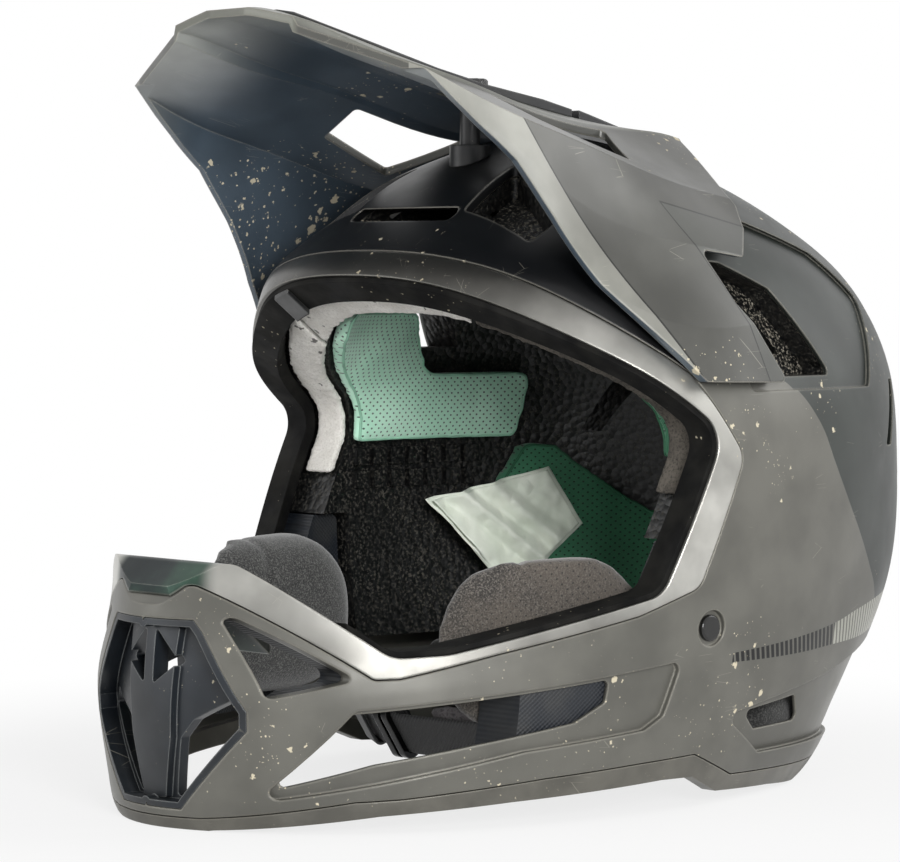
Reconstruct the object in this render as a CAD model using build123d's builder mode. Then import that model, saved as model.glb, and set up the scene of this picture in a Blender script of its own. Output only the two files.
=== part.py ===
# Full face helmet for downhill riding, rebuilt piece by piece.
# Millimetres, +Z up, the face opening looks along -Y, the wearer's left is +X.
# The origin is on the resting plane, in the plane of symmetry.
import os
from math import cos, pi, radians, sin, sqrt

from build123d import *

os.makedirs("parts", exist_ok=True)

# Driving sizes of the shell
half_width = 124.0
half_length = 182.0
shell_height = 256.0
shell_wall = 4.0
overrun = 40.0
fit_gap = 0.3
seat_gap = 0.1
groove_gap = 0.5
outline_points = 20

# Driving sizes of the linings
liner_thickness = 26.0
chin_liner_thickness = 11.0
cheek_block_thickness = 20.0
pad_thickness = 7.0
lining_margin = 7.0
cavity_inset = shell_wall + fit_gap + liner_thickness
cheek_inset = shell_wall + fit_gap + cheek_block_thickness

# Shell levels: height share of the shell height, half width share of the half width, then
# widest place, front and rear as shares of the half length, then the front and rear powers
level_shares = [
    (0.000, 0.831, -0.027, -0.896, 0.747, 1.85, 2.4),
    (0.047, 0.879, -0.016, -0.912, 0.808, 1.85, 2.4),
    (0.117, 0.927, 0.000, -0.923, 0.857, 1.85, 2.4),
    (0.203, 0.960, 0.016, -0.926, 0.934, 1.85, 2.4),
    (0.332, 0.988, 0.044, -0.907, 1.022, 1.7, 2.4),
    (0.484, 1.000, 0.082, -0.824, 1.027, 2.0, 2.4),
    (0.586, 0.988, 0.110, -0.593, 1.014, 2.3, 2.4),
    (0.680, 0.931, 0.137, -0.401, 0.984, 2.3, 2.4),
    (0.773, 0.827, 0.154, -0.385, 0.907, 2.3, 2.4),
    (0.848, 0.694, 0.165, -0.275, 0.775, 2.3, 2.4),
    (0.918, 0.520, 0.176, -0.143, 0.604, 2.3, 2.3),
    (0.961, 0.363, 0.181, -0.016, 0.451, 2.2, 2.2),
    (0.988, 0.202, 0.187, 0.082, 0.313, 2.1, 2.1),
    (0.998, 0.089, 0.190, 0.137, 0.242, 2, 2),
]
dome_start_share = 0.484

# Side view outlines: places along the length as shares of the half length, and heights as
# shares of the shell height
eyeport_shares = [
    (-0.824, 1.016), (0.058, 0.555), (-0.096, 0.324), (-0.538, 0.252), (-0.635, 0.248),
    (-0.841, 0.383), (-0.909, 0.336), (-1.181, 0.336), (-1.181, 1.016),
]
bezel_shares = [
    (-0.824, 1.094), (-0.341, 0.824), (-0.011, 0.641), (0.113, 0.520), (-0.005, 0.332),
    (-0.154, 0.296), (-0.451, 0.251), (-0.626, 0.220), (-0.668, 0.219), (-0.879, 0.350),
    (-0.907, 0.318), (-1.181, 0.318), (-1.181, 1.094),
]
jaw_slot_shares = [
    (-0.698, 0.170), (-0.212, 0.207), (-0.217, 0.174), (-0.283, 0.147), (-0.473, 0.123),
    (-0.648, 0.098), (-0.802, 0.059),
]
jaw_ledge_shares = [
    (-0.698, 0.176), (-0.212, 0.213), (-0.041, 0.227), (-0.077, 0.148), (-0.121, 0.129),
    (-0.387, 0.110), (-0.645, 0.070), (-0.824, 0.043),
]
cheek_window_shares = [(-0.860, 0.316), (-0.692, 0.219), (-0.821, 0.191)]
side_vent_shares = [
    (0.055, 0.809), (0.203, 0.801), (0.319, 0.762), (0.440, 0.633), (0.220, 0.633),
]
side_recess_shares = [
    (0.000, 0.891), (0.319, 0.875), (0.571, 0.816), (0.703, 0.746), (0.593, 0.613),
    (0.154, 0.613),
]
rear_vent_shares = [(0.176, 0.139), (0.363, 0.152), (0.396, 0.111), (0.225, 0.109)]
tail_recess_shares = [
    (0.102, 0.137), (0.225, 0.152), (0.467, 0.178), (0.907, 0.242), (1.253, 0.250),
    (1.253, 0.066), (0.621, 0.070), (0.247, 0.072),
]
exhaust_shares = [(0.681, 0.520), (0.720, 0.520), (0.786, 0.621), (0.742, 0.621)]
trim_line_shares = [
    (-1.253, 0.008), (-0.874, 0.018), (-0.681, 0.045), (-0.604, 0.048), (-0.335, 0.069),
    (-0.121, 0.079), (0.033, 0.084), (0.170, 0.044), (0.500, 0.037), (1.253, 0.031),
    (1.253, -0.195), (-1.253, -0.195),
]
arch_shares = [
    (-0.868, 0.000), (-0.637, 0.024), (-0.396, 0.037), (-0.044, 0.050), (0.044, 0.049),
    (0.137, 0.020), (0.341, 0.013), (0.538, 0.000), (0.538, -0.102), (-0.868, -0.102),
]
crown_liner_shares = [
    (0.077, 0.195), (1.253, 0.195), (1.253, 1.102), (-1.253, 1.102), (-1.253, 0.398),
    (0.077, 0.398),
]
cheek_block_shares = [
    (-0.396, 0.102), (-0.137, 0.102), (0.066, 0.242), (0.066, 0.395), (-0.396, 0.395),
]
chin_liner_shares = [
    (-1.253, 0.062), (-0.808, 0.062), (-0.700, 0.135), (-0.407, 0.172), (-0.407, 0.449),
    (-1.253, 0.449),
]
temple_pad_shares = [
    (-0.121, 0.727), (0.165, 0.727), (0.264, 0.625), (0.549, 0.625), (0.522, 0.510),
    (-0.110, 0.510),
]
nape_pad_shares = [
    (0.440, 0.250), (0.440, 0.400), (0.540, 0.508), (0.610, 0.500), (0.800, 0.375),
    (0.951, 0.352), (0.951, 0.250),
]
label_shares = [(0.268, 0.414), (0.579, 0.460), (0.645, 0.369), (0.467, 0.260)]
visor_side_shares = [
    (-1.253, 1.250), (-1.253, 1.047), (-0.571, 1.070), (-0.505, 1.027), (-0.440, 0.988),
    (-0.363, 0.945), (-0.275, 0.867), (-0.181, 0.770), (-0.104, 0.711), (0.000, 0.629),
    (0.242, 0.625), (0.121, 0.742), (0.082, 0.820), (0.198, 0.809), (0.286, 0.852),
    (0.319, 0.887), (0.604, 0.938), (0.604, 1.250),
]

# Front view outlines of the wearer's left half: shares of the half width and the shell height
mouth_half_shares = [
    (0.000, 0.299), (0.181, 0.299), (0.210, 0.283), (0.353, 0.174), (0.351, 0.146),
    (0.137, 0.029), (0.000, 0.029),
]
upper_window_shares = [(0.020, 0.286), (0.121, 0.238), (0.020, 0.203)]
lower_window_shares = [
    (0.073, 0.045), (0.105, 0.044), (0.306, 0.160), (0.266, 0.186), (0.153, 0.156),
    (0.105, 0.129),
]
pillar_half_shares = [
    (0.000, 0.287), (0.110, 0.287), (0.089, 0.129), (0.050, 0.041), (0.000, 0.041),
]

# Top view outlines of the wearer's left half: shares of the half width and the half length
brow_vent_shares = [(0.250, -0.198), (0.532, -0.192), (0.532, -0.104), (0.218, -0.027)]
visor_vent_shares = [(0.306, -0.165), (0.500, -0.143), (0.565, 0.077), (0.306, 0.176)]
visor_plan_shares = [
    (0.000, -0.692), (0.081, -0.692), (0.274, -0.676), (0.677, -0.571), (1.300, -0.400),
    (1.300, 0.318), (0.645, 0.318), (0.282, 0.429), (0.000, 0.522),
]

# Visor cross sections: place along, then the outline of the left half from the centre line
# to the wing, as shares of the half width and the shell height
visor_row_shares = [
    (-0.692, ((0, 1.164), (0.097, 1.164), (0.274, 1.148), (0.290, 1.137), (0.677, 1.082),
              (0.710, 1.023), (0.734, 0.957), (0.758, 0.840))),
    (-0.571, ((0, 1.157), (0.097, 1.157), (0.274, 1.130), (0.290, 1.114), (0.677, 1.070),
              (0.702, 1.008), (0.726, 0.938), (0.758, 0.812))),
    (-0.341, ((0, 1.117), (0.097, 1.117), (0.274, 1.090), (0.290, 1.079), (0.702, 1.010),
              (0.726, 0.957), (0.774, 0.879), (0.815, 0.781))),
    (-0.176, ((0, 1.086), (0.097, 1.086), (0.274, 1.064), (0.290, 1.056), (0.694, 0.979),
              (0.758, 0.879), (0.823, 0.770), (0.887, 0.645))),
    (-0.027, ((0, 1.060), (0.097, 1.060), (0.274, 1.035), (0.290, 1.029), (0.685, 0.949),
              (0.815, 0.840), (0.950, 0.711), (1.024, 0.566))),
    (0.132, ((0, 1.037), (0.097, 1.037), (0.274, 1.014), (0.290, 1.010), (0.661, 0.922),
             (0.860, 0.820), (0.986, 0.711), (1.040, 0.566))),
    (0.286, ((0, 1.020), (0.097, 1.020), (0.274, 1.007), (0.290, 1.003), (0.652, 0.902),
             (0.855, 0.805), (0.984, 0.703), (1.040, 0.566))),
    (0.538, ((0, 0.982), (0.097, 0.982), (0.274, 0.968), (0.290, 0.964), (0.635, 0.874),
             (0.790, 0.789), (0.935, 0.703), (1.000, 0.566))),
]

# Corner radii of the outlines
port_radii = [2.0, 13.0, 12.0, 25.0, 9.0, 3.0, 2.0, 2.0, 2.0]
bezel_radii = [2.0, 6.0, 3.0, 9.0, 9.0, 12.0, 12.0, 3.0, 3.0, 1.5, 1.5, 2.0, 2.0]
window_radius = 2.0
panel_radius = 3.0
mouth_radius = 1.0
slit_radius = 1.0
pad_radius = 6.0

half_span = half_width + overrun
far_forward = half_length + overrun


def level_outline(level, inset):
    """Points and height of one shell level, moved inwards by an inset."""
    height, width, widest, front, rear, front_power, rear_power = level
    lean = max(0.0, (height - dome_start_share) / (1 - dome_start_share)) ** 1.5
    across = inset * sqrt(1 - lean ** 2)
    middle = widest * half_length
    half = width * half_width - across
    points = []
    for step in range(outline_points):
        turn = pi / 2 + 2 * pi * step / outline_points
        reach = rear * half_length - middle if sin(turn) > 0 else middle - front * half_length
        power = 2 / (rear_power if sin(turn) > 0 else front_power)
        x = half * abs(cos(turn)) ** power * (1 if cos(turn) > 0 else -1)
        y = (reach - across) * abs(sin(turn)) ** power * (1 if sin(turn) > 0 else -1)
        points.append((x if abs(cos(turn)) > 1e-9 else 0, middle + y))
    return points, height * shell_height - inset * lean


def hull(inset, drop=0.0):
    """Closed body an inset inside the outer surface of the shell, with its foot let down."""
    with BuildPart() as body:
        for level in level_shares:
            points, height = level_outline(level, inset)
            with BuildSketch(Plane.XY.offset(height)):
                with BuildLine():
                    Spline(*points, periodic=True)
                make_face()
        loft()
        if drop:
            extrude(body.faces().sort_by(Axis.Z)[0], amount=drop)
    return body.part


def trimmed(body, tool, mode):
    """The body after one or more tools have cut it or kept only what they share."""
    with BuildPart() as piece:
        add(body)
        add(tool, mode=mode)
    return piece.part


def between(body, outer_inset, inner_inset):
    """What a body shares with the layer of the hull between two insets."""
    kept = trimmed(body, hull(outer_inset), Mode.INTERSECT)
    return trimmed(kept, hull(inner_inset, overrun), Mode.SUBTRACT)


def wall_spot(inset, along, height):
    """Place on the left wall at an inset, and its outward direction seen from above."""
    upper = next(level for level in level_shares if level[0] * shell_height >= height)
    lower = level_shares[level_shares.index(upper) - 1]
    share = (height / shell_height - lower[0]) / (upper[0] - lower[0])
    _, width, widest, front, rear, front_power, rear_power = [
        low + share * (high - low) for low, high in zip(lower, upper)
    ]
    middle = widest * half_length
    half = width * half_width - inset
    reach = (rear * half_length - middle if along > middle else middle - front * half_length) - inset
    power = rear_power if along > middle else front_power
    part = abs(along - middle) / reach
    flat = (1 - part ** power) ** (1 / power)
    slope_across = flat ** (power - 1) / half
    slope_along = part ** (power - 1) / reach * (1 if along > middle else -1)
    size = sqrt(slope_across ** 2 + slope_along ** 2)
    return (half * flat, along, height), (slope_across / size, slope_along / size, 0)


def side_points(shares):
    return [(along * half_length, up * shell_height) for along, up in shares]


def front_points(shares):
    return [(across * half_width, up * shell_height) for across, up in shares]


def plan_points(shares):
    return [(across * half_width, along * half_length) for across, along in shares]


def side_prism(shares, radius, grow=0.0):
    """Side view outline carried right across the helmet."""
    with BuildPart() as body:
        with BuildSketch(Plane.YZ.offset(-half_span)):
            with BuildLine():
                FilletPolyline(*side_points(shares), radius=radius, close=True)
            make_face()
            if grow:
                offset(amount=grow)
        extrude(amount=2 * half_span)
    return body.part


def front_prism(shares, radius, grow=0.0):
    """Front view outline of the left half, mirrored and carried back through the chin."""
    with BuildPart() as body:
        with BuildSketch(Plane.XZ.offset(far_forward)):
            with BuildLine():
                FilletPolyline(*front_points(shares), radius=radius, close=True)
            make_face()
            mirror(about=Plane.YZ)
            if grow:
                offset(amount=grow)
        extrude(amount=-chin_cut_depth)
    return body.part


def plan_prism(shares, radius, low):
    """Top view outline of the left half, mirrored and carried up from a height."""
    with BuildPart() as body:
        with BuildSketch(Plane.XY.offset(low)):
            with BuildLine():
                FilletPolyline(*plan_points(shares), radius=radius, close=True)
            make_face()
            mirror(about=Plane.YZ)
        extrude(amount=2 * shell_height - low)
    return body.part


def block(left, right, front, rear, low, high):
    """Plain box between its six faces."""
    with BuildPart() as body:
        with Locations(((left + right) / 2, (front + rear) / 2, (low + high) / 2)):
            Box(right - left, rear - front, high - low)
    return body.part


def round_bar(place, direction, radius, length):
    """Cylinder that starts at a place and runs along a direction."""
    with BuildPart() as body:
        with BuildSketch(Plane(origin=place, z_dir=direction)):
            Circle(radius)
        extrude(amount=length)
    return body.part


def sunk_panel(shares, radius, depth):
    """Tool that sinks a side panel by a depth."""
    return trimmed(side_prism(shares, radius), hull(depth), Mode.SUBTRACT)


def save(piece, name):
    """Label a finished piece and write it."""
    piece.label = name
    export_step(piece, f"parts/{name}.step")


def save_pair(pieces, name):
    """Write the right hand and left hand solids of a symmetrical pair."""
    ordered = pieces.solids().sort_by(Axis.X)
    save(ordered[0], f"{name}_right")
    save(ordered[-1], f"{name}_left")

# Depths and places of the panels and cuts
chin_cut_depth = 110.0
jaw_ledge_depth = 2.4
side_recess_depth = 1.8
tail_recess_depth = 2.6
brow_cut_low = 190.0
brow_slot_half = 29.0
brow_slot_height = 5.0
brow_slot_place = 223.5
brow_slot_depth = 60.0
vent_floor_inset = 14.0
vent_hole_margin = 8.0
brow_floor_inset = 12.0

# Side plugs that cover the strap screws
plug_along = 6.0
plug_height = 69.5
plug_radius = 5.0
plug_shank_radius = 2.5
plug_thickness = 1.8
plug_recess_radius = 6.8
plug_recess_depth = 1.6
plug_face = wall_spot(0.0, plug_along, plug_height)[0][0]
plug_floor = plug_face - plug_recess_depth

# Visor pivots and visor post
pivot_along = 14.0
pivot_height = 176.0
pivot_radius = 3.5
pivot_boss_radius = 6.0
pivot_cover = 1.0
visor_wall = 3.0
post_along = -4.0
post_radius = 4.0
post_tenon_radius = 3.5
post_boss_radius = 8.0
post_boss_height = 5.0

# Bodies shared by several pieces
shell_outside = hull(0.0)
shell_inside = hull(shell_wall, overrun)
shell_face = hull(-seat_gap)
lining_outside = hull(shell_wall + fit_gap, overrun)
cavity = hull(cavity_inset, overrun)
port_cut = side_prism(eyeport_shares, port_radii)
port_margin = side_prism(eyeport_shares, port_radii, lining_margin)
slot_cut = side_prism(jaw_slot_shares, window_radius)
window_cut = side_prism(cheek_window_shares, window_radius)
vent_cut = side_prism(side_vent_shares, window_radius)
exhaust_cut = side_prism(exhaust_shares, slit_radius)
brow_vent_cut = plan_prism(brow_vent_shares, window_radius, brow_cut_low)
mouth_cut = front_prism(mouth_half_shares, mouth_radius)

with BuildPart() as brow_slot:
    with BuildSketch(Plane.XZ.offset(-overrun)):
        with Locations((0, brow_slot_place)):
            SlotOverall(2 * brow_slot_half, brow_slot_height)
    extrude(amount=brow_slot_depth + overrun)

plug_bore = round_bar(
    (-half_span, plug_along, plug_height), (1, 0, 0), plug_shank_radius + seat_gap, 2 * half_span
)
with BuildPart() as plug_recess:
    with BuildSketch(Plane.YZ.offset(plug_floor)):
        with Locations((plug_along, plug_height)):
            Circle(plug_recess_radius)
    extrude(amount=overrun)
    mirror(about=Plane.YZ)
pivot_bore = round_bar(
    (-half_span, pivot_along, pivot_height), (1, 0, 0), pivot_radius + seat_gap, 2 * half_span
)
post_bore = round_bar(
    (0, post_along, brow_cut_low), (0, 0, 1), post_tenon_radius + seat_gap, shell_height
)

# Painted outer shell
shell_tools = [
    shell_inside,
    side_prism(bezel_shares, bezel_radii, groove_gap / 2),
    side_prism(trim_line_shares, window_radius, groove_gap / 2),
    mouth_cut,
    slot_cut,
    window_cut,
    vent_cut,
    exhaust_cut,
    brow_vent_cut,
    side_prism(rear_vent_shares, window_radius),
    brow_slot.part,
    plug_bore,
    plug_recess.part,
    pivot_bore,
    post_bore,
    sunk_panel(jaw_ledge_shares, panel_radius, jaw_ledge_depth),
    sunk_panel(side_recess_shares, panel_radius, side_recess_depth),
    sunk_panel(tail_recess_shares, panel_radius, tail_recess_depth),
]
with BuildPart() as outer_shell:
    add(shell_outside)
    add(shell_tools, mode=Mode.SUBTRACT)
outer_shell.part.label = "outer_shell"
export_step(outer_shell.part, "parts/outer_shell.step")

# Metallic band around the eyeport, with the solid beak at the middle of the chin bar
beak_half = 26.0
beak_rear = -128.0
beak_face = -163.3
bezel_region = side_prism(bezel_shares, bezel_radii, -groove_gap / 2)
beak_zone = block(-beak_half, beak_half, -far_forward, beak_rear, 0, shell_height)
bezel_hollow = trimmed(shell_inside, beak_zone, Mode.SUBTRACT)
beak_front = block(-beak_half, beak_half, -far_forward, beak_face, 0, shell_height)

with BuildPart() as eyeport_bezel:
    add(shell_outside)
    add(bezel_region, mode=Mode.INTERSECT)
    add([bezel_hollow, port_cut, beak_front], mode=Mode.SUBTRACT)
eyeport_bezel.part.label = "eyeport_bezel"
export_step(eyeport_bezel.part, "parts/eyeport_bezel.step")

# Rubber seal behind the band: a lip inside the eyeport and a flange behind its edge
seal_lip = 2.2
seal_flange = 3.0
seal_front_inset = 1.2
seal_rear_inset = 13.0
seal_front = -126.0
seal_hole = [
    side_prism(eyeport_shares, port_radii, -seal_lip),
    block(-half_span, half_span, -far_forward, seal_front, 0, 2 * shell_height),
]
seal_flange_ring = trimmed(
    side_prism(eyeport_shares, port_radii, seal_flange), seal_hole, Mode.SUBTRACT
)
seal_lip_ring = trimmed(
    side_prism(eyeport_shares, port_radii, -seat_gap), seal_hole, Mode.SUBTRACT
)

with BuildPart() as eyeport_seal:
    add(between(seal_flange_ring, shell_wall + seat_gap, seal_rear_inset))
    add(between(seal_lip_ring, seal_front_inset, seal_rear_inset))
eyeport_seal.part.label = "eyeport_seal"
export_step(eyeport_seal.part, "parts/eyeport_seal.step")

# Small clip on the seal at the wearer's right brow
clip_left = -50.0
clip_right = -38.0
clip_low = 150.0
clip_thickness = 1.6
clip_zone = block(clip_left, clip_right, -far_forward, 0, clip_low, shell_height)
clip_inner = side_prism(eyeport_shares, port_radii, -seal_lip - clip_thickness)
clip_outer = side_prism(eyeport_shares, port_radii, -seal_lip - seat_gap)
clip_ring = trimmed(trimmed(clip_zone, clip_outer, Mode.INTERSECT), clip_inner, Mode.SUBTRACT)

with BuildPart() as seal_clip:
    add(between(clip_ring, seal_front_inset, seal_rear_inset))
seal_clip.part.label = "seal_clip"
export_step(seal_clip.part, "parts/seal_clip.step")

# Rubber trim along the bottom edge, flat where the helmet rests
trim_depth = 6.5

trim_region = trimmed(
    side_prism(trim_line_shares, window_radius, -groove_gap / 2),
    side_prism(arch_shares, panel_radius),
    Mode.SUBTRACT,
)

with BuildPart() as base_trim:
    add(between(trim_region, 0.0, trim_depth))
base_trim.part.label = "base_trim"
export_step(base_trim.part, "parts/base_trim.step")

# Mouth grille: a rim in the chin opening, a plate with windows and a tapering pillar
grille_plate_inset = 7.5
grille_rear_inset = 11.5
grille_front_inset = 0.2
pillar_inset = 4.5
grille_rim = 2.4
grille_zone = front_prism(mouth_half_shares, mouth_radius, -groove_gap / 2)
grille_middle = front_prism(mouth_half_shares, mouth_radius, -groove_gap / 2 - grille_rim)
grille_windows = [
    front_prism(upper_window_shares, mouth_radius),
    front_prism(lower_window_shares, mouth_radius),
]
grille_pillar = front_prism(pillar_half_shares, mouth_radius)

with BuildPart() as mouth_grille:
    add(between(grille_zone, grille_plate_inset, grille_rear_inset))
    add(between(grille_pillar, pillar_inset, grille_rear_inset))
    add(grille_windows, mode=Mode.SUBTRACT)
    add(between(
        trimmed(grille_zone, grille_middle, Mode.SUBTRACT), grille_front_inset, grille_rear_inset
    ))
mouth_grille.part.label = "mouth_grille"
export_step(mouth_grille.part, "parts/mouth_grille.step")

# Glossy plugs, one on each side
with BuildPart() as side_plug:
    with BuildSketch(Plane.YZ.offset(plug_floor + seat_gap)):
        with Locations((plug_along, plug_height)):
            Circle(plug_radius)
    extrude(amount=plug_thickness)
    fillet(side_plug.edges().sort_by(Axis.X)[-1], plug_thickness / 2)
    with BuildSketch(Plane.YZ.offset(plug_face - shell_wall + fit_gap)):
        with Locations((plug_along, plug_height)):
            Circle(plug_shank_radius)
    extrude(amount=shell_wall - fit_gap - plug_recess_depth + 2 * seat_gap)
    mirror(about=Plane.YZ)
save_pair(side_plug, "side_plug")

# Energy absorbing foam over the crown, with the crumple blocks on its inner face
crumple_block = 7.0
crumple_pitch = 9.5
crumple_count = 7
crumple_front = 19.5
crumple_low = 115.5
crumple_rows = 2
crumple_depth = 3.0
vent_hollow = trimmed(vent_cut, hull(vent_floor_inset), Mode.SUBTRACT)
brow_hollow = trimmed(brow_vent_cut, hull(brow_floor_inset), Mode.SUBTRACT)

with BuildPart() as crumple_blocks:
    for row in range(crumple_rows):
        height = crumple_low + row * crumple_pitch
        for column in range(crumple_count):
            with Locations((0, crumple_front + column * crumple_pitch, height)):
                Box(2 * half_span, crumple_block, crumple_block)

with BuildPart() as eps_crown_liner:
    add(lining_outside)
    add(side_prism(crown_liner_shares, panel_radius), mode=Mode.INTERSECT)
    add(
        [
            cavity,
            port_margin,
            vent_hollow,
            side_prism(side_vent_shares, window_radius, -vent_hole_margin),
            brow_hollow,
            brow_slot.part,
            exhaust_cut,
        ],
        mode=Mode.SUBTRACT,
    )
    add(between(crumple_blocks.part, cavity_inset - seat_gap, cavity_inset + crumple_depth))
eps_crown_liner.part.label = "eps_crown_liner"
export_step(eps_crown_liner.part, "parts/eps_crown_liner.step")

# Foam inside the chin bar
chin_margin = 5.0
mouth_margin = 1.0
slot_margin = 1.5
beak_space = trimmed(
    side_prism(bezel_shares, bezel_radii, fit_gap),
    block(
        -beak_half - fit_gap, beak_half + fit_gap, -far_forward, beak_rear + fit_gap,
        0, 2 * shell_height,
    ),
    Mode.INTERSECT,
)

chin_region = trimmed(
    side_prism(chin_liner_shares, panel_radius),
    [
        side_prism(eyeport_shares, port_radii, chin_margin),
        beak_space,
        front_prism(mouth_half_shares, mouth_radius, mouth_margin),
        side_prism(jaw_slot_shares, window_radius, slot_margin),
        side_prism(cheek_window_shares, window_radius, slot_margin),
    ],
    Mode.SUBTRACT,
)

with BuildPart() as eps_chin_liner:
    add(between(
        chin_region, shell_wall + fit_gap, shell_wall + fit_gap + chin_liner_thickness
    ))
eps_chin_liner.part.label = "eps_chin_liner"
export_step(eps_chin_liner.part, "parts/eps_chin_liner.step")

# Foam blocks behind the cheeks, with the sockets of the pad studs
stud_radius = 3.5
stud_shares = [(-0.3407, 0.2148), (-0.1538, 0.2578)]
stud_length = 4.6
stud_inset = cheek_inset + fit_gap
socket_depth = stud_length + fit_gap


def stud_bars(radius, outer_inset, inner_inset):
    """Round bars across the helmet at the stud places, kept between two insets."""
    with BuildPart() as bars:
        for place in side_points(stud_shares):
            with BuildSketch(Plane.YZ.offset(-half_span)):
                with Locations(place):
                    Circle(radius)
            extrude(amount=2 * half_span)
    return between(bars.part, outer_inset, inner_inset)


cheek_region = trimmed(
    side_prism(cheek_block_shares, panel_radius), port_margin, Mode.SUBTRACT
)
sockets = stud_bars(stud_radius + fit_gap, cheek_inset - socket_depth, cavity_inset)

with BuildPart() as eps_cheek:
    add(between(cheek_region, shell_wall + fit_gap, cheek_inset))
    add(sockets, mode=Mode.SUBTRACT)
save_pair(eps_cheek, "eps_cheek")

# Brow foam strip in three lengths
foam_outer_margin = 6.7
foam_inner_margin = 2.7
foam_low = 118.0
foam_split_left = 39.0
foam_split_right = -63.0
foam_split_gap = 0.6

foam_ring = trimmed(
    side_prism(eyeport_shares, port_radii, foam_outer_margin),
    [
        side_prism(eyeport_shares, port_radii, foam_inner_margin),
        block(-half_span, half_span, -far_forward, half_length, 0, foam_low),
    ],
    Mode.SUBTRACT,
)

with BuildPart() as brow_foam:
    add(between(foam_ring, seal_rear_inset + fit_gap, cavity_inset))
    for split in (foam_split_left, foam_split_right):
        with Locations((split, -half_length / 2, shell_height / 2)):
            Box(foam_split_gap, 2 * half_length, 2 * shell_height, mode=Mode.SUBTRACT)
brow_strips = brow_foam.solids().sort_by(Axis.X)
save(brow_strips[0], "brow_foam_right")
save(brow_strips[1], "brow_foam_centre")
save(brow_strips[2], "brow_foam_left")

# Comfort pads on the inner face of the crown foam
pad_face = cavity_inset + fit_gap
pad_back = pad_face + pad_thickness
nape_gap_half = 16.0
crown_pad_half = 22.0
crown_pad_low = 165.0
crown_pad_front = -18.0
crown_pad_rear = 125.0

temple_region = trimmed(side_prism(temple_pad_shares, pad_radius), port_margin, Mode.SUBTRACT)
save_pair(between(temple_region, pad_face, pad_back), "temple_pad")

nape_middle = block(-nape_gap_half, nape_gap_half, 0, 2 * half_length, 0, shell_height)
nape_region = trimmed(side_prism(nape_pad_shares, pad_radius), nape_middle, Mode.SUBTRACT)
save_pair(between(nape_region, pad_face, pad_back), "nape_pad")

with BuildPart() as crown_region:
    with BuildSketch(Plane.XY.offset(crown_pad_low)):
        with Locations((0, (crown_pad_front + crown_pad_rear) / 2)):
            RectangleRounded(2 * crown_pad_half, crown_pad_rear - crown_pad_front, pad_radius)
    extrude(amount=shell_height)
save(between(crown_region.part, pad_face, pad_back), "crown_pad")

# Cheek pads: domed cushions with drawn-in sides, and their press studs. Each cross section
# has its place as a share of the half width, then shares of the pad's length, height and corner
pad_along = -46.0
pad_height = 64.0
pad_length = 90.0
pad_tall = 66.0
pad_corner = 27.0
pad_shares = [
    (0.855, 0.867, 0.818, 0.815), (0.774, 0.978, 0.970, 0.963), (0.677, 1.000, 1.000, 1.000),
    (0.597, 0.956, 0.939, 0.963), (0.532, 0.822, 0.758, 0.815), (0.492, 0.578, 0.455, 0.519),
]
pad_space = hull(stud_inset)

with BuildPart() as cheek_pad:
    for across, length, tall, corner in pad_shares:
        with BuildSketch(Plane.YZ.offset(across * half_width)):
            with Locations((pad_along, pad_height)):
                RectangleRounded(length * pad_length, tall * pad_tall, corner * pad_corner)
    loft()
    add(pad_space, mode=Mode.INTERSECT)
    mirror(about=Plane.YZ)
save_pair(cheek_pad, "cheek_pad")

studs = stud_bars(stud_radius, stud_inset - stud_length, stud_inset - seat_gap).solids()
for name, group in (
    ("cheek_studs_right", studs.sort_by(Axis.X)[: len(stud_shares)]),
    ("cheek_studs_left", studs.sort_by(Axis.X)[-len(stud_shares):]),
):
    save(Compound(children=list(group)), name)

# Neck roll: a bolster that follows the rear wall and is pressed flat where it meets it
roll_gap = 1.5
roll_half_width = 11.0
roll_half_height = 17.0
roll_height = 32.0
roll_start = 18.0
roll_stations = 13
roll_end_share = 0.55
roll_inset = shell_wall + roll_gap + roll_half_width

with BuildPart() as neck_roll:
    level = level_shares[2]
    rear_reach = level[4] * half_length - roll_inset
    half = level[1] * half_width - roll_inset
    power = 2 / level[6]
    for number in range(roll_stations):
        turn = radians(roll_start + (180 - 2 * roll_start) * number / (roll_stations - 1))
        place = (
            half * abs(cos(turn)) ** power * (1 if cos(turn) >= 0 else -1),
            rear_reach * sin(turn) ** power,
        )
        size = roll_end_share if number in (0, roll_stations - 1) else 1.0
        outward = Vector(place[0] / half ** 2, place[1] / rear_reach ** 2, 0).normalized()
        with BuildSketch(
            Plane(
                origin=(place[0], place[1], roll_height),
                x_dir=outward,
                z_dir=outward.cross(Vector(0, 0, 1)),
            )
        ):
            Ellipse(roll_half_width * size, roll_half_height * size)
    loft()
save(trimmed(neck_roll.part, lining_outside, Mode.INTERSECT), "neck_roll")

# Two blank leaves of a sewn-in label, curved over the right nape pad
label_leaf = 0.5
label_step = 2.0
right_half = block(-half_span, 0, -far_forward, far_forward, 0, shell_height)

with BuildPart() as label_booklet:
    for leaf in range(2):
        face = pad_back + fit_gap + leaf * (label_leaf + fit_gap)
        outline = side_prism(label_shares, window_radius, -leaf * label_step)
        region = trimmed(outline, right_half, Mode.INTERSECT)
        add(between(region, face, face + label_leaf))
label_booklet.part.label = "label_booklet"
export_step(label_booklet.part, "parts/label_booklet.step")

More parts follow.
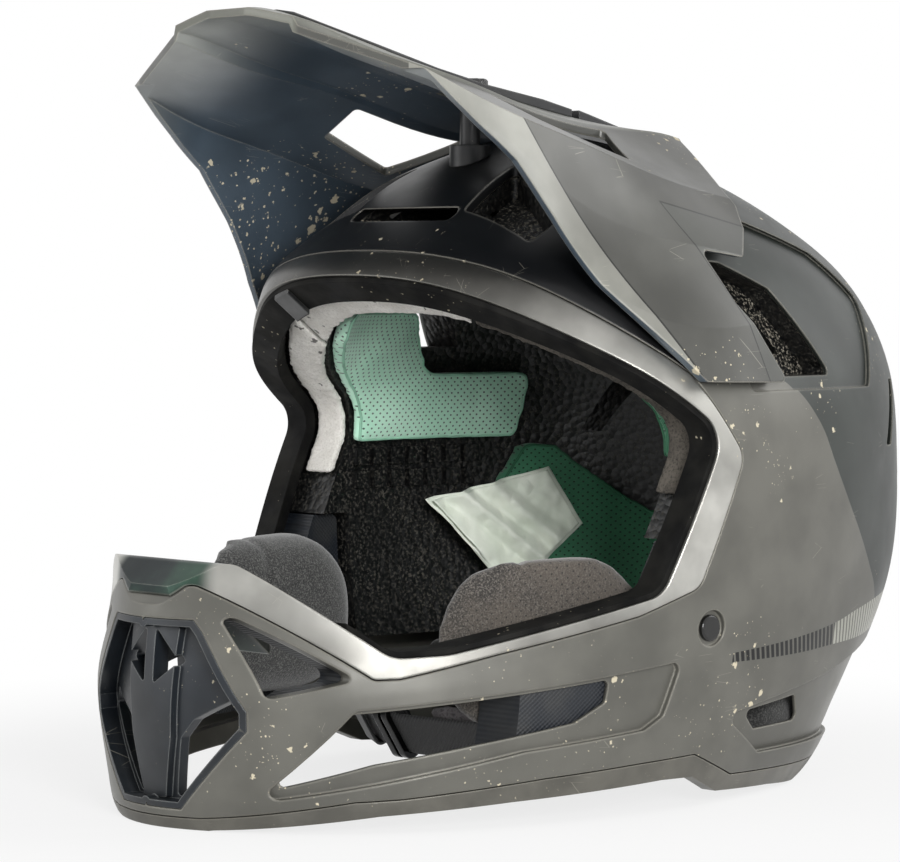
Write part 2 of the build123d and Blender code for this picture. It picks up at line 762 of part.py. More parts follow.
# Chin strap: webbing drawn in its own sloping plane, points as shares of its half span
strap_half_span = 107.0
strap_width = 20.0
strap_thickness = 1.6
strap_bend = 14.0
strap_origin = (0, 24.0, 36.0)
strap_rise = 0.55
strap_reach = sqrt(1 - strap_rise ** 2)
strap_plane = Plane(origin=strap_origin, x_dir=(1, 0, 0), z_dir=(0, -strap_rise, strap_reach))
strap_long_shares = [
    (1.000, 0.019), (0.822, -0.150), (0.467, -0.290), (0.000, -0.327), (-0.318, -0.333),
    (-0.495, -0.313), (-0.682, -0.243),
]
strap_short_shares = [(-1.000, 0.019), (-0.822, -0.150), (-0.467, -0.285), (-0.318, -0.302)]
strap_pad_shares = [(0.421, -0.260), (0.000, -0.293), (-0.168, -0.296)]
strap_pad_thickness = 5.0
strap_pad_width = 26.0


def ribbon(shares, thickness, width):
    """Band of webbing along its side view outline."""
    with BuildPart() as body:
        with BuildSketch(strap_plane):
            with BuildLine():
                FilletPolyline(
                    *[(across * strap_half_span, up * strap_half_span) for across, up in shares],
                    radius=strap_bend,
                )
            trace(line_width=thickness)
        extrude(amount=width / 2, both=True)
    return body.part


save(ribbon(strap_long_shares, strap_thickness, strap_width), "chin_strap_long")
save(ribbon(strap_short_shares, strap_thickness, strap_width), "chin_strap_short")
save(ribbon(strap_pad_shares, strap_pad_thickness, strap_pad_width), "chin_strap_pad")

# Two buckle rings round both straps, and the keeper of the loose end
ring_wire = 2.5
ring_opening = 6.6
ring_clearance = 0.75
ring_corner = 2.0
ring_share = (-0.404, -0.3075)
ring_pitch = 5.0
ring_thickness = 3.0
ring_wide = strap_width + 2 * ring_clearance
ring_plane = Plane(
    origin=strap_plane.from_local_coords(
        (ring_share[0] * strap_half_span, ring_share[1] * strap_half_span, 0)
    ),
    x_dir=strap_plane.z_dir,
    z_dir=(1, 0, 0),
)

with BuildPart() as d_rings:
    for step in (-0.5, 0.5):
        with BuildSketch(ring_plane.offset(step * ring_pitch)):
            RectangleRounded(
                ring_wide + 2 * ring_wire, ring_opening + 2 * ring_wire, ring_corner + ring_wire
            )
            RectangleRounded(ring_wide, ring_opening, ring_corner, mode=Mode.SUBTRACT)
        extrude(amount=ring_thickness / 2, both=True)
d_rings.part.label = "d_rings"
export_step(d_rings.part, "parts/d_rings.step")

keeper_wall = 1.2
keeper_opening = 8.2
keeper_length = 9.0
keeper_share = (-0.600, -0.2560)
keeper_slope = 20.5
keeper_place = strap_plane.from_local_coords(
    (keeper_share[0] * strap_half_span, keeper_share[1] * strap_half_span, 0)
)
keeper_plane = Plane(
    origin=keeper_place,
    x_dir=strap_plane.z_dir,
    z_dir=strap_plane.from_local_coords(
        (cos(radians(keeper_slope)), -sin(radians(keeper_slope)), 0)
    ) - strap_plane.origin,
)

with BuildPart() as strap_keeper:
    with BuildSketch(keeper_plane):
        RectangleRounded(
            ring_wide + 2 * keeper_wall, keeper_opening + 2 * keeper_wall, ring_corner + keeper_wall
        )
        RectangleRounded(ring_wide, keeper_opening, ring_corner, mode=Mode.SUBTRACT)
    extrude(amount=keeper_length / 2, both=True)
strap_keeper.part.label = "strap_keeper"
export_step(strap_keeper.part, "parts/strap_keeper.step")

# Plates that hold the strap ends to the shell
anchor_size = 18.0
anchor_thickness = 2.0
anchor_lift = 1.5

with BuildPart() as anchor_region:
    with Locations((0, strap_origin[1], strap_origin[2] + anchor_lift)):
        Box(2 * half_span, anchor_size, anchor_size)
anchor_back = shell_wall + anchor_thickness
save_pair(between(anchor_region.part, shell_wall + seat_gap, anchor_back), "strap_anchor")


def visor_section(row, inset):
    """Outline of one visor cross section, moved inwards by an inset."""
    points = [Vector(across * half_width, up * shell_height) for across, up in row]
    normals = []
    for first, second in zip(points, points[1:]):
        step = (second - first).normalized()
        normals.append(Vector(-step.Y, step.X))
    normals = [Vector(0, 1)] + normals
    moved = []
    for point, before, after in zip(points, normals, normals[1:]):
        moved.append(point - (before + after) * (inset / (1 + before.dot(after))))
    tip = points[-1] - normals[-1] * inset
    if inset:
        tip = tip - Vector(0, overrun)
    half = moved + [tip]
    other = [Vector(-point.X, point.Y) for point in reversed(half[1:])]
    return other + half


def visor_block(inset):
    """Smooth body through the visor cross sections."""
    with BuildPart() as body:
        for along, row in visor_row_shares:
            with BuildSketch(Plane.XZ.offset(-along * half_length)):
                with BuildLine():
                    Polyline(*visor_section(row, inset), close=True)
                make_face()
        loft()
    return body.part


def visor_top(along):
    """Height of the visor's centre line at a place along it."""
    for (first, first_row), (second, second_row) in zip(visor_row_shares, visor_row_shares[1:]):
        start, end = first * half_length, second * half_length
        if start <= along <= end:
            share = (along - start) / (end - start)
            return shell_height * (first_row[0][1] + share * (second_row[0][1] - first_row[0][1]))
    raise ValueError("outside the visor")


def visor_side(along, height):
    """Half width of the visor at a place along it and a height."""
    for (first, first_row), (second, second_row) in zip(visor_row_shares, visor_row_shares[1:]):
        start, end = first * half_length, second * half_length
        if start <= along <= end:
            spans = [row_side(row, height / shell_height) for row in (first_row, second_row)]
            return half_width * (spans[0] + (spans[1] - spans[0]) * (along - start) / (end - start))
    raise ValueError("outside the visor")


def row_side(row, up):
    """Half width share of one cross section at a height share."""
    for (above, top), (below, bottom) in zip(row, row[1:]):
        if bottom <= up <= top and bottom < top:
            return above + (below - above) * (top - up) / (top - bottom)
    raise ValueError("outside the cross section")


def shell_reach(turn):
    """Space that the shell takes below the visor when the visor is tilted by a turn."""
    pivot_axis = Axis((0, pivot_along, pivot_height), (1, 0, 0))
    return hull(-visor_clearance).rotate(pivot_axis, turn)


# Visor, with its two vents, the slot of the post and the blind bores of the pivots
tilt_down = 7.0
tilt_up = 2.0
visor_clearance = 0.6
post_slot_half = 6.0
post_slot_front = -16.5
post_slot_rear = 17.0
visor_corner = 2.0
wing_face = visor_side(pivot_along, pivot_height)
visor_tools = [
    visor_block(visor_wall),
    plan_prism(visor_vent_shares, visor_corner, brow_cut_low),
    block(
        -post_slot_half, post_slot_half, post_slot_front, post_slot_rear,
        brow_cut_low, 2 * shell_height,
    ),
    round_bar(
        (pivot_cover - wing_face, pivot_along, pivot_height), (1, 0, 0),
        pivot_radius + fit_gap, 2 * (wing_face - pivot_cover),
    ),
    shell_reach(-tilt_down),
    shell_reach(tilt_up),
]

with BuildPart() as visor:
    add(visor_block(0.0))
    add(visor_tools, mode=Mode.SUBTRACT)
    add(side_prism(visor_side_shares, visor_corner), mode=Mode.INTERSECT)
    add(plan_prism(visor_plan_shares, 0.0, 0.0), mode=Mode.INTERSECT)
visor.part.label = "visor"
export_step(visor.part, "parts/visor.step")

# Raised spine on top of the visor: a long ridge with a channel in it, and a bar behind
ridge_half = 12.0
ridge_front = -112.0
ridge_rear = 40.0
ridge_heights = [1.0, 1.2, 1.2, 1.6, 2.6, 4.0, 3.0]
ridge_breaks = [along * half_length for along, _ in visor_row_shares[1:6]]
channel_half = 9.0
channel_front = -26.0
channel_end = 5.0
bar_half = 9.0
bar_front = 47.0
bar_rear = 88.0
bar_heights = [4.0, 3.5, 1.5]
bar_breaks = [visor_row_shares[6][0] * half_length]
spine_root = 3.0


def spine(front, rear, half, heights, breaks):
    """Ridge that stands on the visor's centre line between two places."""
    places = [front] + breaks + [rear]
    low = [(place, visor_top(place) - spine_root) for place in places]
    high = [(place, visor_top(place) + size) for place, size in zip(places, heights)]
    with BuildPart() as body:
        with BuildSketch(Plane.YZ.offset(-half)):
            with BuildLine():
                Polyline(*low, *reversed(high), close=True)
            make_face()
        extrude(amount=2 * half)
        add(visor_seat, mode=Mode.SUBTRACT)
    return body.part


visor_seat = visor_block(-seat_gap)
channel = block(
    -channel_half, channel_half, channel_front, ridge_rear - channel_end, brow_cut_low,
    2 * shell_height,
)

with BuildPart() as visor_spine_front:
    add(spine(ridge_front, ridge_rear, ridge_half, ridge_heights, ridge_breaks))
    add(channel, mode=Mode.SUBTRACT)
visor_spine_front.part.label = "visor_spine_front"
export_step(visor_spine_front.part, "parts/visor_spine_front.step")

with BuildPart() as visor_spine_rear:
    add(spine(bar_front, bar_rear, bar_half, bar_heights, bar_breaks))
visor_spine_rear.part.label = "visor_spine_rear"
export_step(visor_spine_rear.part, "parts/visor_spine_rear.step")

# Pivot pins: a boss on the shell and a pin through it, on both sides
pivot_raw_length = 22.0
pivot_face_gap = 1.8
pivot_face = wing_face - visor_wall - pivot_face_gap
pivot_tip = wing_face - pivot_cover - fit_gap
pivot_start = pivot_face - pivot_raw_length
shell_lining_face = hull(shell_wall)

with BuildPart() as pivot_pin:
    add(round_bar((pivot_start, pivot_along, pivot_height), (1, 0, 0), pivot_boss_radius,
                  pivot_raw_length))
    add(shell_face, mode=Mode.SUBTRACT)
    add(trimmed(
        round_bar((pivot_start, pivot_along, pivot_height), (1, 0, 0), pivot_radius,
                  pivot_tip - pivot_start),
        shell_lining_face,
        Mode.SUBTRACT,
    ))
    mirror(about=Plane.YZ)
save_pair(pivot_pin, "pivot_pin")

# Post that carries the middle of the visor, seated in the crown of the shell
post_lift = 2.2
post_bore_radius = 2.1
post_bore_depth = 14.0
post_raw_start = 225.0
post_top = visor_top(post_along) + post_lift
boss_top = shell_height - post_boss_height

with BuildPart() as visor_post:
    add(round_bar((0, post_along, post_raw_start), (0, 0, 1), post_boss_radius,
                  boss_top - post_raw_start))
    add(shell_face, mode=Mode.SUBTRACT)
    add(trimmed(
        round_bar((0, post_along, post_raw_start), (0, 0, 1), post_tenon_radius,
                  boss_top - post_raw_start),
        shell_lining_face,
        Mode.SUBTRACT,
    ))
    add(round_bar((0, post_along, boss_top), (0, 0, 1), post_radius, post_top - boss_top))
    add(round_bar((0, post_along, post_top), (0, 0, -1), post_bore_radius, post_bore_depth),
        mode=Mode.SUBTRACT)
visor_post.part.label = "visor_post"
export_step(visor_post.part, "parts/visor_post.step")

# Thumbscrew of the visor
knob_radius = 7.0
knob_height = 3.2
knob_notch = 1.0
knob_notches = 10
knob_edge = 0.8
screw_radius = 2.0
screw_length = 12.0

with BuildPart() as visor_thumbscrew:
    with BuildSketch(Plane(origin=(0, post_along, post_top + fit_gap))):
        Circle(knob_radius)
        with PolarLocations(knob_radius, knob_notches):
            Circle(knob_notch, mode=Mode.SUBTRACT)
    extrude(amount=knob_height)
    chamfer(visor_thumbscrew.faces().sort_by(Axis.Z)[-1].edges(), knob_edge)
    add(round_bar((0, post_along, post_top + fit_gap), (0, 0, -1), screw_radius, screw_length))
visor_thumbscrew.part.label = "visor_thumbscrew"
export_step(visor_thumbscrew.part, "parts/visor_thumbscrew.step")
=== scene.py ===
import math

import bmesh
import bpy
from mathutils import Matrix, Vector, noise
from mathutils.bvhtree import BVHTree


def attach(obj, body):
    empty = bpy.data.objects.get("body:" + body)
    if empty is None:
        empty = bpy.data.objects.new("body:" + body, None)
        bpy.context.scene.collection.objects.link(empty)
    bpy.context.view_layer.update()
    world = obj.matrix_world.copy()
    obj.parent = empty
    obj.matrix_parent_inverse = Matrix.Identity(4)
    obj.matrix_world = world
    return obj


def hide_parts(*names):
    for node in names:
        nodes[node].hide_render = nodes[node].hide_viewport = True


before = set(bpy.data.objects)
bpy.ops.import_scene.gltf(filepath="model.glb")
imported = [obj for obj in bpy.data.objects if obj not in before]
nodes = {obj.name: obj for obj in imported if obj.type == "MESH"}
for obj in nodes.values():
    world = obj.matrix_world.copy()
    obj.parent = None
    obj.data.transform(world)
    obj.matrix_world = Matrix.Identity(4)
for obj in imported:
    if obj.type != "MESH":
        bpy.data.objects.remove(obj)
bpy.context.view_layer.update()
scene = bpy.context.scene
print("frame loaded:", len(nodes), "parts")


# Small helpers for materials

def tone(code):
    # a written sRGB colour as the linear one that a shader takes
    parts = [int(code[i:i + 2], 16) / 255 for i in (0, 2, 4)]
    return tuple(p / 12.92 if p <= 0.04045 else ((p + 0.055) / 1.055) ** 2.4 for p in parts) + (1.0,)


def fill(tree, made, links):
    for key, value in links.items():
        if isinstance(value, bpy.types.NodeSocket):
            tree.links.new(value, made.inputs[key])
        else:
            made.inputs[key].default_value = value
    return made


def put(tree, kind, links=None, **values):
    made = tree.nodes.new(kind)
    for key, value in values.items():
        setattr(made, key, value)
    return fill(tree, made, links or {})


def calc(tree, operation, a, b=0.0, c=0.0, clamp=False):
    made = put(tree, "ShaderNodeMath", {0: a, 1: b, 2: c}, operation=operation, use_clamp=clamp)
    return made.outputs[0]


def times(tree, a, b, clamp=False):
    return calc(tree, "MULTIPLY", a, b, clamp=clamp)


def vectorCalc(tree, operation, a, b=(0, 0, 0)):
    made = put(tree, "ShaderNodeVectorMath", {0: a, 1: b}, operation=operation)
    return made.outputs["Value" if operation in ("DOT_PRODUCT", "LENGTH") else "Vector"]


def scaled(tree, vector, amount):
    return put(tree, "ShaderNodeVectorMath", {0: vector, "Scale": amount}, operation="SCALE").outputs[0]


def axesOf(tree, vector):
    return put(tree, "ShaderNodeSeparateXYZ", {0: vector}).outputs


def step(tree, value, low, high, outLow=0.0, outHigh=1.0):
    links = {"Value": value, "From Min": low, "From Max": high, "To Min": outLow, "To Max": outHigh}
    return put(tree, "ShaderNodeMapRange", links, interpolation_type="SMOOTHSTEP").outputs["Result"]


def mix(tree, factor, a, b, kind="MIX"):
    made = put(tree, "ShaderNodeMix", {0: factor, 6: a, 7: b}, data_type="RGBA", blend_type=kind)
    return made.outputs[2]


def noiseOf(tree, place, scale, detail=2.0, **links):
    links = {"Vector": place, "Scale": scale, "Detail": detail, **links}
    return put(tree, "ShaderNodeTexNoise", links).outputs


def profile(tree, value, pairs):
    # a curve through (input, output) pairs
    low, high = pairs[0][0], pairs[-1][0]
    outs = [out for _, out in pairs]
    least, most = min(outs), max(outs)
    share = put(tree, "ShaderNodeMapRange", {"Value": value, "From Min": low, "From Max": high}).outputs[0]
    made = put(tree, "ShaderNodeFloatCurve", {"Value": share})
    points = made.mapping.curves[0].points
    spots = [((given - low) / (high - low), (out - least) / (most - least)) for given, out in pairs]
    points[0].location, points[1].location = spots[0], spots[-1]
    for spot in spots[1:-1]:
        points.new(*spot)
    made.mapping.update()
    return calc(tree, "MULTIPLY_ADD", made.outputs[0], most - least, least)


def newGroup(name, inputs, outputs):
    tree = bpy.data.node_groups.new(name, "ShaderNodeTree")
    for label, kind, value in inputs:
        socket = tree.interface.new_socket(label, in_out="INPUT", socket_type=kind)
        if value is not None:
            socket.default_value = value
    for label, kind in outputs:
        tree.interface.new_socket(label, in_out="OUTPUT", socket_type=kind)
    return tree, tree.nodes.new("NodeGroupInput").outputs, tree.nodes.new("NodeGroupOutput").inputs


def useGroup(tree, group, **links):
    made = tree.nodes.new("ShaderNodeGroup")
    made.node_tree = group
    return fill(tree, made, links).outputs


number, arrow = "NodeSocketFloat", "NodeSocketVector"

# Dried mud spots: irregular blobs of many sizes, in clusters
mudShape = {"wobble": 2.4, "wobbleDetail": 4.0, "rarity": 5.0, "cluster": 17.0, "range": (0.45, 0.66),
            "crisp": 14.0}
inputs = [("Place", arrow, None), ("Scale", number, 100.0), ("Amount", number, 0.4), ("Smear", number, 0.5)]
mudSpots, given, out = newGroup("mudSpots", inputs, [("Mask", number)])
spread = scaled(mudSpots, given["Place"], given["Scale"])
wobble = noiseOf(mudSpots, spread, mudShape["wobble"], mudShape["wobbleDetail"])["Color"]
wobble = vectorCalc(mudSpots, "SUBTRACT", wobble, (0.5, 0.5, 0.5))
moved = vectorCalc(mudSpots, "ADD", spread, scaled(mudSpots, wobble, given["Smear"]))
cells = put(mudSpots, "ShaderNodeTexVoronoi", {"Vector": moved, "Scale": 1.0})
size = put(mudSpots, "ShaderNodeSeparateColor", {0: cells.outputs["Color"]}).outputs[0]
size = times(mudSpots, calc(mudSpots, "POWER", size, mudShape["rarity"]), given["Amount"])
cluster = noiseOf(mudSpots, given["Place"], mudShape["cluster"])[0]
size = times(mudSpots, size, step(mudSpots, cluster, *mudShape["range"]))
size = calc(mudSpots, "SUBTRACT", size, cells.outputs["Distance"])
mudSpots.links.new(times(mudSpots, size, mudShape["crisp"], clamp=True), out["Mask"])

# Fine scratches in two directions, in patches
scratchShape = {"turns": [(0.5, 0.2, 0.9), (-0.4, 1.1, 0.3)], "stretch": 0.16, "fine": 0.005, "patch": 55.0,
                "gate": 0.72, "gateDrop": 0.2, "gateSoft": 0.03}
inputs = [("Place", arrow, None), ("Scale", number, 40.0), ("Amount", number, 0.5)]
scratchLines, given, out = newGroup("scratchLines", inputs, [("Mask", number)])
found = []
for turn in scratchShape["turns"]:
    links = {"Vector": given["Place"], "Rotation": turn, "Scale": (1.0, scratchShape["stretch"], 1.0)}
    spread = scaled(scratchLines, put(scratchLines, "ShaderNodeMapping", links).outputs[0], given["Scale"])
    links = {"Vector": spread, "Scale": 1.0}
    lines = put(scratchLines, "ShaderNodeTexVoronoi", links, feature="DISTANCE_TO_EDGE").outputs["Distance"]
    thin = step(scratchLines, lines, 0.0, scratchShape["fine"], 1.0, 0.0)
    patch = noiseOf(scratchLines, given["Place"], scratchShape["patch"])[0]
    drop = times(scratchLines, given["Amount"], scratchShape["gateDrop"])
    gate = calc(scratchLines, "SUBTRACT", scratchShape["gate"], drop)
    shown = step(scratchLines, calc(scratchLines, "SUBTRACT", patch, gate), 0.0, scratchShape["gateSoft"])
    found.append(times(scratchLines, thin, shown))
scratchLines.links.new(calc(scratchLines, "MAXIMUM", *found), out["Mask"])

# Worn edges: where a rounded normal leaves the true one
edgeShape = {"samples": 6, "breakUp": 260.0, "breakDetail": 4.0, "breakShare": 0.12, "range": (0.93, 1.03)}
inputs = [("Place", arrow, None), ("Width", number, 0.0012)]
wornEdges, given, out = newGroup("wornEdges", inputs, [("Mask", number), ("Normal", arrow)])
rounded = put(wornEdges, "ShaderNodeBevel", {"Radius": given["Width"]}, samples=edgeShape["samples"])
rounded = rounded.outputs[0]
true = put(wornEdges, "ShaderNodeNewGeometry").outputs["Normal"]
facing = vectorCalc(wornEdges, "DOT_PRODUCT", rounded, true)
breakUp = noiseOf(wornEdges, given["Place"], edgeShape["breakUp"], edgeShape["breakDetail"])[0]
facing = calc(wornEdges, "ADD", facing, times(wornEdges, breakUp, edgeShape["breakShare"]))
wornEdges.links.new(step(wornEdges, facing, *edgeShape["range"], 1.0, 0.0), out["Mask"])
wornEdges.links.new(rounded, out["Normal"])

# Rows of small round holes, staggered, on a surface map in metres
holeShape = {"turn": (0.0, 0.0, math.pi / 4), "uneven": 0.05, "crisp": 12.0}
inputs = [("Map", arrow, None), ("Pitch", number, 0.0021), ("Hole", number, 0.2)]
holeRows, given, out = newGroup("holeRows", inputs, [("Mask", number)])
turned = put(holeRows, "ShaderNodeMapping", {"Vector": given["Map"], "Rotation": holeShape["turn"]})
grid = scaled(holeRows, turned.outputs[0], calc(holeRows, "DIVIDE", 1.0, given["Pitch"]))
links = {"Vector": grid, "Scale": 1.0, "Randomness": holeShape["uneven"]}
dots = put(holeRows, "ShaderNodeTexVoronoi", links, voronoi_dimensions="2D").outputs["Distance"]
inside = calc(holeRows, "SUBTRACT", given["Hole"], dots)
holeRows.links.new(times(holeRows, inside, holeShape["crisp"], clamp=True), out["Mask"])

# Fine cloth: crossing threads on a surface map in metres
weaveShape = {"scale": 0.5, "bend": 0.6, "detail": 1.0}
inputs = [("Map", arrow, None), ("Pitch", number, 0.0006)]
threadWeave, given, out = newGroup("threadWeave", inputs, [("Height", number)])
grid = scaled(threadWeave, given["Map"], calc(threadWeave, "DIVIDE", 1.0, given["Pitch"]))
links = {"Vector": grid, "Scale": weaveShape["scale"], "Distortion": weaveShape["bend"],
         "Detail": weaveShape["detail"]}
waves = [put(threadWeave, "ShaderNodeTexWave", links, bands_direction=way).outputs["Fac"] for way in "XY"]
threadWeave.links.new(times(threadWeave, *waves), out["Height"])

# Moulded foam beads
beadShape = {"shade": 2.6, "detail": 3.0, "rough": 0.7, "range": (0.52, 0.64)}
inputs = [("Place", arrow, None), ("Scale", number, 330.0)]
foamBeads, given, out = newGroup("foamBeads", inputs, [("Height", number), ("Glint", number)])
spread = scaled(foamBeads, given["Place"], given["Scale"])
beads = put(foamBeads, "ShaderNodeTexVoronoi", {"Vector": spread, "Scale": 1.0}).outputs["Distance"]
shade = noiseOf(foamBeads, spread, beadShape["shade"], beadShape["detail"], Roughness=beadShape["rough"])[0]
foamBeads.links.new(calc(foamBeads, "SUBTRACT", 1.0, beads), out["Height"])
foamBeads.links.new(step(foamBeads, shade, *beadShape["range"]), out["Glint"])
print("shader groups made")


def newMaterial(name, roughness=0.5, metallic=0.0, **sockets):
    made = bpy.data.materials.new(name)
    made.use_nodes = True
    tree = made.node_tree
    shader = tree.nodes["Principled BSDF"]
    shader.inputs["Roughness"].default_value = roughness
    shader.inputs["Metallic"].default_value = metallic
    for key, value in sockets.items():
        shader.inputs[key.replace("_", " ")].default_value = value
    place = put(tree, "ShaderNodeTexCoord").outputs
    return made, tree, shader, place


cloudRange = (0.35, 0.65)


def cloudy(tree, place, scale, low, high, detail=4.0):
    return step(tree, noiseOf(tree, place, scale, detail)[0], *cloudRange, low, high)


def bumped(tree, height, strength, distance=0.0004, normal=None):
    links = {"Height": height, "Strength": strength, "Distance": distance}
    if normal is not None:
        links["Normal"] = normal
    return put(tree, "ShaderNodeBump", links).outputs[0]


def link(tree, value, shader, socket):
    tree.links.new(value, shader.inputs[socket])


finishValues = {
    "dull": (0.80, 1.12), "scratchShow": 0.30, "scratchTone": "c9c4b4", "bigSmear": 0.9, "fineScale": 3.1,
    "fineShare": 0.8, "fineSmear": 0.7, "glossCloud": 0.7, "mudRough": 0.35, "mudHeight": 1.5,
    "depth": 0.0002,
}


def paintFinish(tree, shader, place, base, values):
    # dust, mud, scratches, worn edges and uneven gloss over a painted colour
    values = {**finishValues, **values}
    here = place["Object"]
    worn = useGroup(tree, wornEdges, Place=here, Width=values["edge"])
    dulled = cloudy(tree, here, values["cloud"], *values["dull"])
    dulled = put(tree, "ShaderNodeCombineColor", {0: dulled, 1: dulled, 2: dulled}).outputs[0]
    base = mix(tree, 1.0, base, dulled, "MULTIPLY")
    base = mix(tree, times(tree, worn["Mask"], values["wear"]), base, tone(values["bare"]))
    lines = useGroup(tree, scratchLines, Place=here, Scale=values["scratchScale"], Amount=values["scratches"])
    shown = times(tree, lines["Mask"], values["scratchShow"])
    base = mix(tree, shown, base, tone(values["scratchTone"]))
    fineScale, fineAmount = values["mudScale"] * values["fineScale"], values["mud"] * values["fineShare"]
    big = useGroup(tree, mudSpots, Place=here, Scale=values["mudScale"], Amount=values["mud"],
                   Smear=values["bigSmear"])
    fine = useGroup(tree, mudSpots, Place=here, Scale=fineScale, Amount=fineAmount, Smear=values["fineSmear"])
    specks = calc(tree, "MAXIMUM", big["Mask"], fine["Mask"])
    base = mix(tree, times(tree, specks, values["mudShow"]), base, tone(values["mudTone"]))
    link(tree, base, shader, "Base Color")
    rough = cloudy(tree, here, values["cloud"] * values["glossCloud"], *values["gloss"])
    rough = calc(tree, "ADD", rough, times(tree, specks, values["mudRough"]), clamp=True)
    link(tree, rough, shader, "Roughness")
    grain = noiseOf(tree, here, values["grain"])[0]
    height = calc(tree, "ADD", grain, times(tree, specks, values["mudHeight"]))
    link(tree, bumped(tree, height, values["grainDepth"], values["depth"], worn["Normal"]), shader, "Normal")


# Outer shell: two-tone satin paint, a row of tick bars, and a black brow whose black is carried under the
# whole visor as painted shade
shellValues = {
    "metallic": 0.25, "front": "605f59", "rear": "2e322f", "brow": "0c0d0f", "tick": "0c0c0c",
    "tickRear": "a9a99f",
    "split": [(0.060, 0.130), (0.0756, 0.1206), (0.0865, 0.1104), (0.1029, 0.0963), (0.1135, 0.0876),
              (0.1294, 0.0761), (0.1432, 0.0674), (0.1589, 0.0513), (0.170, 0.030), (0.256, 0.000)],
    "splitSoft": 0.0002,
    "bandLow": [(0.018, 0.0557), (0.054, 0.0559), (0.088, 0.0572), (0.112, 0.0578), (0.138, 0.060),
                (0.188, 0.062)],
    "bandHigh": [(0.018, 0.0592), (0.053, 0.0618), (0.085, 0.0657), (0.105, 0.0696), (0.135, 0.0732),
                 (0.188, 0.076)],
    "along": [(0.0179, 0.0), (0.0464, 0.0285), (0.0804, 0.0629), (0.0971, 0.0801), (0.108, 0.0923),
              (0.135, 0.1215), (0.160, 0.158), (0.188, 0.230)],
    "tickPitch": 0.0030, "tickShare": 0.62, "tickLean": 0.25, "tickStart": 0.0008, "tickTurn": 0.068,
    "turnSoft": 0.001, "tickEnd": 0.150, "browAndShadeUp": (0.1612, 0.1622), "browAndShadeBack": (0.028, 0.034),
    "edge": 0.0014, "wear": 0.35, "bare": "a8a498", "cloud": 26.0, "scratchScale": 80.0, "scratches": 0.45,
    "mudScale": 250.0, "mud": 0.42, "mudShow": 0.85, "mudTone": "d9cfb6", "gloss": (0.34, 0.48),
    "grain": 2600.0, "grainDepth": 0.10,
}


def shellPaint(values):
    made, tree, shader, place = newMaterial("shellPaint", metallic=values["metallic"])
    axes = axesOf(tree, place["Object"])
    behind = calc(tree, "SUBTRACT", axes["Y"], profile(tree, axes["Z"], values["split"]))
    rear = step(tree, behind, -values["splitSoft"], values["splitSoft"])
    lowEdge = profile(tree, axes["Y"], values["bandLow"])
    highEdge = profile(tree, axes["Y"], values["bandHigh"])
    above = calc(tree, "GREATER_THAN", axes["Z"], highEdge)
    base = mix(tree, times(tree, rear, above), tone(values["front"]), tone(values["rear"]))
    run = profile(tree, axes["Y"], values["along"])
    lean = calc(tree, "MULTIPLY_ADD", calc(tree, "SUBTRACT", axes["Z"], lowEdge), values["tickLean"], run)
    bar = calc(tree, "FRACT", calc(tree, "DIVIDE", lean, values["tickPitch"]))
    bar = calc(tree, "LESS_THAN", bar, values["tickShare"])
    band = times(tree, calc(tree, "GREATER_THAN", axes["Z"], lowEdge),
                 calc(tree, "LESS_THAN", axes["Z"], highEdge))
    band = times(tree, band, calc(tree, "GREATER_THAN", run, values["tickStart"]))
    band = times(tree, band, calc(tree, "LESS_THAN", run, values["tickEnd"]))
    turned = step(tree, run, values["tickTurn"] - values["turnSoft"], values["tickTurn"] + values["turnSoft"])
    ink = mix(tree, turned, tone(values["tick"]), tone(values["tickRear"]))
    base = mix(tree, times(tree, band, bar), base, ink)
    # black at the brow, and the same black over all of the shell under the visor as painted shade
    high = step(tree, axes["Z"], *values["browAndShadeUp"])
    ahead = step(tree, axes["Y"], *values["browAndShadeBack"], 1.0, 0.0)
    base = mix(tree, times(tree, high, ahead), base, tone(values["brow"]))
    paintFinish(tree, shader, place, base, values)
    return made


# Metallic band round the face opening, darker at the brow and below as painted reflections, with a darker
# beak at its middle
bezelValues = {
    "metallic": 0.85, "silver": "c9c8c2", "smudge": "7b7a75", "smudgeCloud": 18.0, "smudgeShare": 0.55,
    "beak": "272d2e", "tint": "4f6e5c", "greenReflectionCloud": 30.0, "greenReflectionShare": 0.5, "beakHalf": 0.026,
    "beakSoft": 0.004, "beakRear": -0.128, "brow": (0.150, 0.200), "browReflectionTone": "4a4946",
    "low": (0.062, 0.092), "lowReflectionTone": "6d6c68", "edge": 0.0010, "wear": 0.25, "bare": "d8d6cc",
    "cloud": 34.0, "scratchScale": 70.0, "scratches": 0.6, "mudScale": 280.0, "mud": 0.3, "mudShow": 0.7,
    "mudTone": "d9cfb6", "gloss": (0.30, 0.46), "grain": 2200.0, "grainDepth": 0.06,
}


def bezelPaint(values):
    made, tree, shader, place = newMaterial("bezelMetal", metallic=values["metallic"])
    here = place["Object"]
    axes = axesOf(tree, here)
    half, soft = values["beakHalf"], values["beakSoft"]
    middle = step(tree, calc(tree, "ABSOLUTE", axes["X"]), half - soft, half + soft, 1.0, 0.0)
    middle = times(tree, middle, calc(tree, "LESS_THAN", axes["Y"], values["beakRear"]))
    smudged = cloudy(tree, here, values["smudgeCloud"], 0.0, values["smudgeShare"])
    base = mix(tree, smudged, tone(values["silver"]), tone(values["smudge"]))
    # darker at the brow as a painted reflection of the dark visor above, and darker below as a painted
    # reflection
    base = mix(tree, step(tree, axes["Z"], *values["brow"]), base, tone(values["browReflectionTone"]))
    base = mix(tree, step(tree, axes["Z"], *values["low"], 1.0, 0.0), base, tone(values["lowReflectionTone"]))
    # green clouds on the dark beak are painted green reflections
    greenReflection = cloudy(tree, here, values["greenReflectionCloud"], 0.0, values["greenReflectionShare"])
    dark = mix(tree, greenReflection, tone(values["beak"]), tone(values["tint"]))
    paintFinish(tree, shader, place, mix(tree, middle, base, dark), values)
    return made
